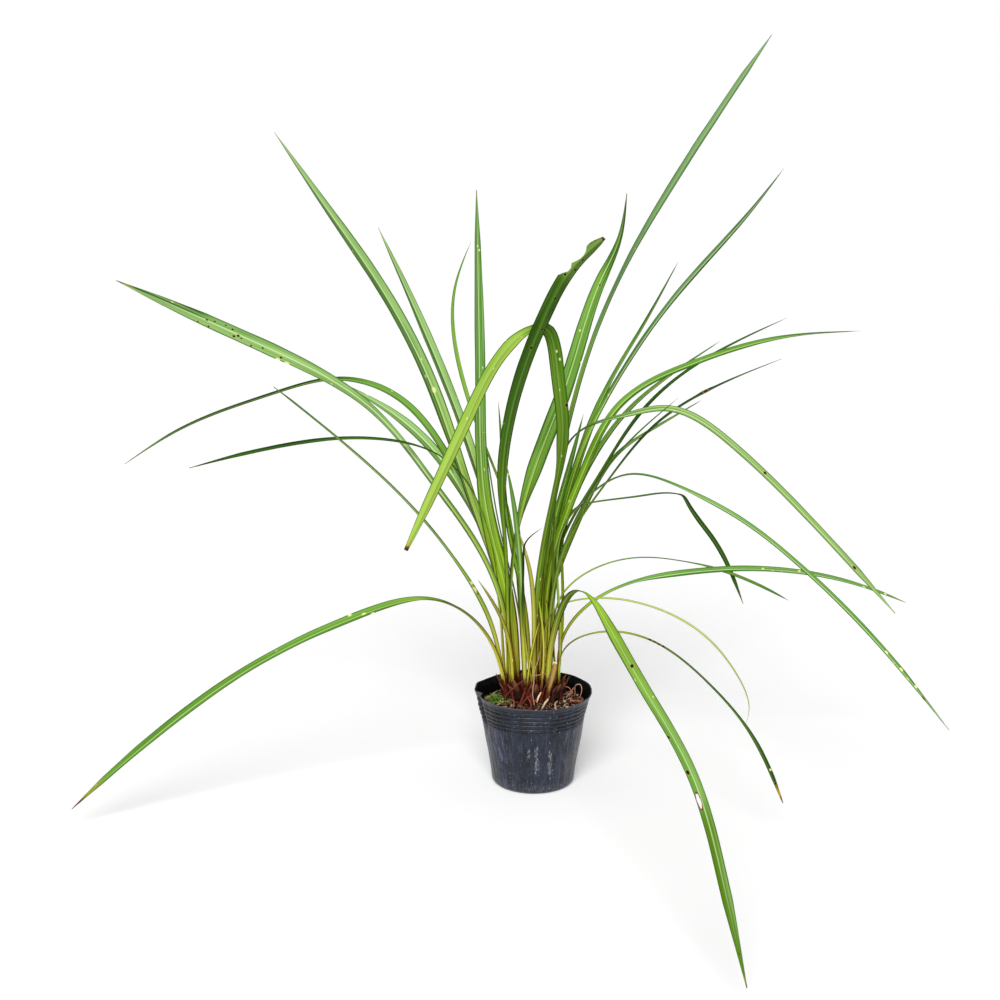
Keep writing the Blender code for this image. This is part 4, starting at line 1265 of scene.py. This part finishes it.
def turned_axes(rng, tilt):
    """Three square directions, turned at random and tilted up to an angle in degrees."""
    around = rng.uniform(0, FULL_TURN)
    lean = math.radians(rng.uniform(0, tilt))
    up = level_way(rng.uniform(0, FULL_TURN)) * math.sin(lean) + Vector((0, 0, math.cos(lean)))
    ahead = level_way(around)
    ahead = (ahead - up * ahead.dot(up)).normalized()
    return ahead, up.cross(ahead), up


def add_chip(heap, rng, place, size, tone):
    """A rough flake: two uneven rings of five points."""
    ahead, aside, up = turned_axes(rng, tilt=38)
    length, width, depth = size
    verts = []
    for level, shrink in ((-0.5, 1.0), (0.5, 0.78)):
        for k in range(5):
            angle = FULL_TURN * (k + rng.uniform(-0.25, 0.25)) / 5
            reach = 0.5 * shrink * rng.uniform(0.75, 1.1)
            verts.append(place + ahead * (length * reach * math.cos(angle))
                         + aside * (width * reach * math.sin(angle)) + up * (level * depth))
    faces = [list(range(4, -1, -1)), list(range(5, 10))]
    faces += [[k, (k + 1) % 5, 5 + (k + 1) % 5, 5 + k] for k in range(5)]
    rng.random()  # One draw is passed over, so that the chips after it stay as they are
    heap.add(verts, faces, [(tone, 0, 0)] * 10)


def add_strand(heap, points, radii, tone, sides):
    """A closed tapering strand through the points."""
    verts, tones = [], []
    flat = Vector((0.3, 0.2, 1.0)).normalized()
    for i, point in enumerate(points):
        run = (points[min(i + 1, len(points) - 1)] - points[max(i - 1, 0)]).normalized()
        aside = run.cross(flat)
        aside = aside.normalized() if aside.length > 0.05 else run.orthogonal().normalized()
        up = aside.cross(run)
        share = i / (len(points) - 1)
        radius = float(np.interp(share, np.linspace(0, 1, len(radii)), radii))
        for k in range(sides):
            angle = FULL_TURN * k / sides
            verts.append(point + aside * (radius * math.cos(angle)) + up * (radius * math.sin(angle)))
            tones.append((tone, share, 0))
    faces = [list(range(sides)), [len(verts) - 1 - k for k in range(sides)]]
    for low in range(0, len(verts) - sides, sides):
        for k in range(sides):
            after = (k + 1) % sides
            faces.append([low + k, low + sides + k, low + sides + after, low + after])
    heap.add(verts, faces, tones)


def on_soil(rng, reach):
    """A random place on the open soil."""
    while True:
        angle = rng.uniform(0, FULL_TURN)
        radius = reach * math.sqrt(rng.random())
        x, y = radius * math.cos(angle), radius * math.sin(angle)
        if oval(x, y, CROWN_CENTRE, (CROWN_RADII[0] - 5, CROWN_RADII[1] - 5)) > 1:
            return x, y


def make_chips(rng):
    """Bark chips, few of them on the moss."""
    chips = Heap()
    for _ in range(CHIPS):
        x, y = on_soil(rng, SOIL_EDGE - 1)
        length = rng.uniform(*CHIP_LENGTH) * (1.7 if rng.random() < 0.12 else 1)
        size = (length, length * rng.uniform(0.35, 0.7), length * rng.uniform(0.18, 0.4))
        tone = rng.choice((0.0, 0.05, 0.1, 0.2, 0.25, 0.3, 0.45, 1.0))
        if oval(x, y, MOSS_CENTRE, MOSS_RADII) < 0.9 and rng.random() < 0.75:
            continue
        add_chip(chips, rng, Vector((x, y, soil_height(x, y) + 0.15 * length)), size, tone)
    chips.piece("bark_chips", crumb_finish("bark_finish", BARK), SLOTS["soil"])


def make_grains(rng):
    """Small grains of soil, some of them pale."""
    grains = Heap()
    for _ in range(GRAINS):
        x, y = on_soil(rng, SOIL_EDGE + 0.5)
        length = rng.uniform(*GRAIN_LENGTH)
        tone = rng.uniform(0.8, 1.0) if rng.random() < 0.2 else rng.uniform(0.0, 0.4)
        place = Vector((x, y, soil_height(x, y) + 0.1))
        add_chip(grains, rng, place, (length, 0.8 * length, 0.7 * length), tone)
    grains.piece("soil_grains", crumb_finish("grain_finish", BARK, 0.2), SLOTS["soil"])


def make_fibres(rng):
    """Fine bent fibres that lie on the soil."""
    fibres = Heap()
    for _ in range(FIBRES):
        x, y = on_soil(rng, SOIL_EDGE - 3)
        ahead = level_way(rng.uniform(0, FULL_TURN))
        length = rng.uniform(*FIBRE_LENGTH)
        bend = rng.uniform(-0.5, 0.5)
        points = []
        for step in range(6):
            run = length * (step / 5 - 0.5)
            bow = bend * run * run / length
            px = x + run * ahead.x - bow * ahead.y
            py = y + run * ahead.y + bow * ahead.x
            if math.hypot(px, py) > SOIL_EDGE:
                break
            lift = rng.uniform(0.3, 1.2) if step else 0.2
            points.append(Vector((px, py, soil_height(px, py) + lift)))
        if len(points) > 3:
            add_strand(fibres, points, FIBRE_RADII, rng.choice((0.3, 0.6, 0.9)), sides=4)
    fibres.piece("soil_fibres", crumb_finish("fibre_finish", FIBRE, 0.1), SLOTS["soil"])


def make_soil():
    """The root ball in the pot, with bark chips, grains and fibres on it."""
    rings = [("pole", 0, soil_height(0, 0))]
    rings += [("top", (i + 1) / SOIL_RINGS, None) for i in range(SOIL_RINGS)]
    rings += [("side", 1.0, height) for height in SOIL_SIDES]
    soil = lathe("soil_block", rings + [("pole", 0, SOIL_BOTTOM)], soil_point, SOIL_COLUMNS)
    place_piece(soil, soil_finish(), SLOTS["soil"], "soil")
    rng = random.Random(SEED)
    make_chips(rng)
    make_grains(rng)
    make_fibres(rng)


def moss_finish():
    """Green moss, yellower at the blades' ends."""
    dark, low, high, ends = MOSS_GREENS
    paint = Paint("moss_finish", dark, Specular_IOR_Level=0.2)
    tone, along = paint.attribute("tone").parts()[:2]
    grain = paint.place().noise(0.5, 0.5, 0.5, detail=4, roughness=0.7)
    paint.coat(low, grain.rise(0.4, 0.62))
    paint.coat(high, tone.rise(0.2, 0.9))
    paint.coat(ends, along.rise(0.2, 0.9) * 0.8)
    return paint.done(0.85, grain, 0.8)


def make_moss():
    """A cushion of moss with short blades that thin out at its edge."""
    radii = (1.15 * MOSS_RADII[0], 1.1 * MOSS_RADII[1])
    cushion = mound("moss_cushion", MOSS_CENTRE, radii, moss_height, *MOSS_MESH)
    add_vectors(cushion, "tone", [(0, 0, 0)] * len(cushion.data.vertices))
    finish = moss_finish()
    place_piece(cushion, finish, SLOTS["moss"], "moss")
    rng = random.Random(SEED + 1)
    blades = Heap()
    for _ in range(MOSS_BLADES):
        angle = rng.uniform(0, FULL_TURN)
        share = rng.random() ** 0.6 * (1.25 if rng.random() < 0.3 else 0.95)
        x = MOSS_CENTRE[0] + 4 + 1.3 * MOSS_RADII[0] * share * math.cos(angle)
        y = MOSS_CENTRE[1] + MOSS_RADII[1] * share * math.sin(angle)
        if math.hypot(x, y) > SOIL_EDGE - 0.5:
            continue
        ahead, aside, up = turned_axes(rng, tilt=50)
        base = Vector((x, y, max(moss_height(x, y), soil_height(x, y)) - 0.2))
        length = rng.uniform(*MOSS_BLADE_LENGTH)
        radius = rng.uniform(*MOSS_BLADE_RADIUS)
        behind = base - ahead * (0.5 * radius)
        verts = [base + ahead * radius, behind + aside * (0.87 * radius), behind - aside * (0.87 * radius),
                 base + up * length]
        tone = rng.random()
        blades.add(verts, [[2, 1, 0], [0, 1, 3], [1, 2, 3], [2, 0, 3]], [(tone, 0, 0)] * 3 + [(tone, 1, 0)])
    blades.piece("moss_blades", finish, SLOTS["moss"])


# Crown, roots, sheaths and stub


def fibre_finish(name, dark, middle, pale):
    """Papery fibrous brown: long streaks along the height."""
    paint = Paint(name, dark, Specular_IOR_Level=0.25)
    place = paint.place()
    tone, along = paint.attribute("tone").parts()[:2]
    streak = place.noise(1.1, 1.1, 0.16, detail=4, roughness=0.7)
    paint.coat(middle, streak.rise(0.38, 0.6))
    paint.coat(pale, streak.rise(0.58, 0.76) * (tone * 0.7 + 0.15))
    paint.coat(dark, place.noise(0.22, 0.22, 0.12).rise(0.5, 0.68) * 0.45)
    paint.coat(pale, along.rise(0.7, 1.0) * 0.35)
    return paint.done(0.78, streak, 0.5)


def add_scale(heap, rng, foot, outward, width, height, tone):
    """A small papery scale that wraps the foot of a leaf and ends in a torn point."""
    aside = Vector((-outward.y, outward.x, 0))
    rows, columns = 6, 5
    lean = rng.uniform(0.05, 0.28)
    top, tones = [], []
    for i in range(rows + 1):
        t = i / rows
        half = 0.5 * width * (0.85 + 0.3 * t - 1.05 * t ** 3)
        ragged = rng.uniform(-0.04, 0.04) * height if i > 2 else 0
        for k in range(columns):
            s = 2 * k / (columns - 1) - 1
            point = foot + Vector((0, 0, t * height + ragged * s)) + outward * (lean * t * t * height)
            top.append(point + aside * (half * s) - outward * (0.9 * half * s * s))
            tones.append((tone, t, 0))
    under = [point - outward * SCALE_THICKNESS for point in top]
    cells = {(i, k) for i in range(rows) for k in range(columns - 1)}
    faces = sheet_faces(cells, lambda i, layer, k: layer * len(top) + i * columns + k)
    heap.add(top + under, faces, tones * 2)


def make_crown():
    """The fibrous root stock and the brown scales round the feet of the leaves."""
    radii = [1.08 * radius for radius in CROWN_RADII]
    stock = mound("crown_stock", CROWN_CENTRE, radii, crown_height, *CROWN_MESH)
    add_vectors(stock, "tone", [(0.3, 0, 0)] * len(stock.data.vertices))
    place_piece(stock, fibre_finish("crown_finish", *CROWN_BROWNS), SLOTS["crown"], "crown")
    rng = random.Random(SEED + 2)
    scales = Heap()
    for shape in LEAVES.values():
        for _ in range(SCALES_PER_LEAF):
            outward = level_way(math.radians(shape["azimuth"]) + math.radians(rng.uniform(-70, 70)))
            place = Vector((*shape["foot"], 0)) + outward * rng.uniform(1.2, 3.0)
            place.z = SOIL_LEVEL + rng.uniform(1.5, 4.0)
            add_scale(scales, rng, place, outward, rng.uniform(*SCALE_WIDTH), rng.uniform(*SCALE_HEIGHT),
                      rng.random())
    scales.piece("crown_scales", fibre_finish("scale_finish", *SCALE_BROWNS), SLOTS["crown"], smooth_angle=60)


def add_wiggly(heap, knots, radii, tone, seed):
    """A strand along the knots, a bit crooked and uneven."""
    step = 1.2
    points = [point + 0.5 * Vector([wander(seed + axis, step * i, 5) for axis in range(3)])
              for i, point in enumerate(smooth_curve(knots, step))]
    add_strand(heap, points, radii, tone, sides=8)


def make_strands():
    """The stout roots, the knot of red roots and the loose threads on the soil."""
    finish = crumb_finish("root_finish", ROOT, 0.3)
    for seed, (name, (tone, *route)) in enumerate(ROOTS.items()):
        root = Heap()
        add_wiggly(root, [(x, y, soil_height(x, y) + 1.0) for x, y in route], ROOT_RADII, tone, seed)
        root.piece(name + "_bark", finish, SLOTS[name], name, smooth_angle=60)
    threads = Heap()
    for seed, (tone, radii, *knots) in enumerate(STRANDS, start=20):
        add_wiggly(threads, knots, radii, tone, seed)
    rng = random.Random(SEED + 3)
    for seed in range(40, 40 + THREADS):
        x, y = on_soil(rng, SOIL_EDGE - 6)
        ahead = level_way(rng.uniform(0, FULL_TURN))
        length = rng.uniform(*THREAD_LENGTH)
        knots = []
        for step in range(4):
            run = length * (step / 3 - 0.5)
            px, py = x + run * ahead.x, y + run * ahead.y
            moved = (px + rng.uniform(-2, 2), py + rng.uniform(-2, 2))
            knots.append((*moved, soil_height(px, py) + rng.uniform(0.2, 2)))
        if max(math.hypot(kx, ky) for kx, ky, _ in knots) < SOIL_EDGE - 2:
            add_wiggly(threads, knots, THREAD_RADII, rng.choice((0.1, 0.3, 0.9)), seed)
    threads.piece("root_threads", finish, SLOTS["root_front"], smooth_angle=60)


def papery_finish(name, dark, middle, pale, cut=None):
    """Dry leaf base with long fibres, brown margins and, where it was cut, a white end."""
    paint = Paint(name, middle, Specular_IOR_Level=0.25)
    place = paint.attribute("place")
    along, _, to_tip = place.parts()
    across = paint.attribute("leaf").parts()[1]
    streak = place.noise(0.05, 1.0, 0, detail=4, roughness=0.7)
    paint.coat(pale, streak.rise(0.35, 0.62))
    paint.coat(dark, abs(across).rise(0.55, 0.95) * 0.8)
    paint.coat(dark, along.fall(6.0, 17.0))
    if cut:
        paint.coat(cut, to_tip.fall(1.0, 2.4))
    return paint.done(0.7, streak, 0.3)


def make_stub():
    """The stub of the leaf that was cut off."""
    stub = leaf_object("stub_blade", STUB, SEED)
    place_piece(stub, papery_finish("stub_finish", *STUB_BROWNS, STUB_CUT), SLOTS["cut_stub"], "cut_stub")


def make_sheaths():
    """Torn brown leaf bases round the crown."""
    finish = papery_finish("sheath_finish", *SHEATH_BROWNS)
    for seed, (name, shape) in enumerate(SHEATHS.items(), start=SEED):
        place_piece(leaf_object(name + "_scale", shape, seed), finish, SLOTS[name], name)


# Stage


def make_camera():
    """The photograph's viewpoint."""
    data = bpy.data.cameras.new("camera")
    data.lens = CAMERA_LENS
    data.sensor_width = SENSOR_WIDTH
    data.clip_end = 200.0
    camera = new_object("camera", data)
    camera.location = CAMERA_PLACE
    camera.rotation_euler = (math.radians(90 - CAMERA_DOWN), 0, 0)
    bpy.context.scene.camera = camera


def make_light():
    """Soft daylight from above and a white surround."""
    data = bpy.data.lights.new("sky_light", "SUN")
    data.energy = SUN_ENERGY
    data.angle = math.radians(SUN_SPREAD)
    sun = new_object("sky_light", data)
    sun.rotation_euler = (*(math.radians(turn) for turn in SUN_TURN), 0)
    world = bpy.data.worlds.new("surround")
    world.use_nodes = True
    bpy.context.scene.world = world
    nodes = world.node_tree.nodes
    background = nodes["Background"]
    background.inputs["Color"].default_value = (1, 1, 1, 1)
    path = nodes.new("ShaderNodeLightPath")
    level = nodes.new("ShaderNodeMapRange")
    level.inputs["To Min"].default_value = SURROUND_LIGHT
    level.inputs["To Max"].default_value = 1.0
    world.node_tree.links.new(path.outputs["Is Camera Ray"], level.inputs["Value"])
    world.node_tree.links.new(level.outputs[0], background.inputs["Strength"])
    bpy.context.scene.view_settings.view_transform = "Standard"


def make_floor():
    """A plain pale floor."""
    bm = bmesh.new()
    bmesh.ops.create_circle(bm, cap_ends=True, segments=96, radius=FLOOR_RADIUS)
    floor = bmesh_object("floor", bm)
    paint = Paint("floor_finish", FLOOR_GREYS[0], Emission_Color=(1, 1, 1, 1), Emission_Strength=FLOOR_GLOW)
    grain = paint.coordinates("Object").noise(3, 3, 3)
    paint.coat(FLOOR_GREYS[1], grain)
    floor.data.materials.append(paint.done(0.9, grain, 0.01))
    floor.visible_diffuse = False


make_camera()
make_light()
make_floor()
make_pot()
make_soil()
make_moss()
make_crown()
make_strands()
make_stub()
make_sheaths()
make_leaves()
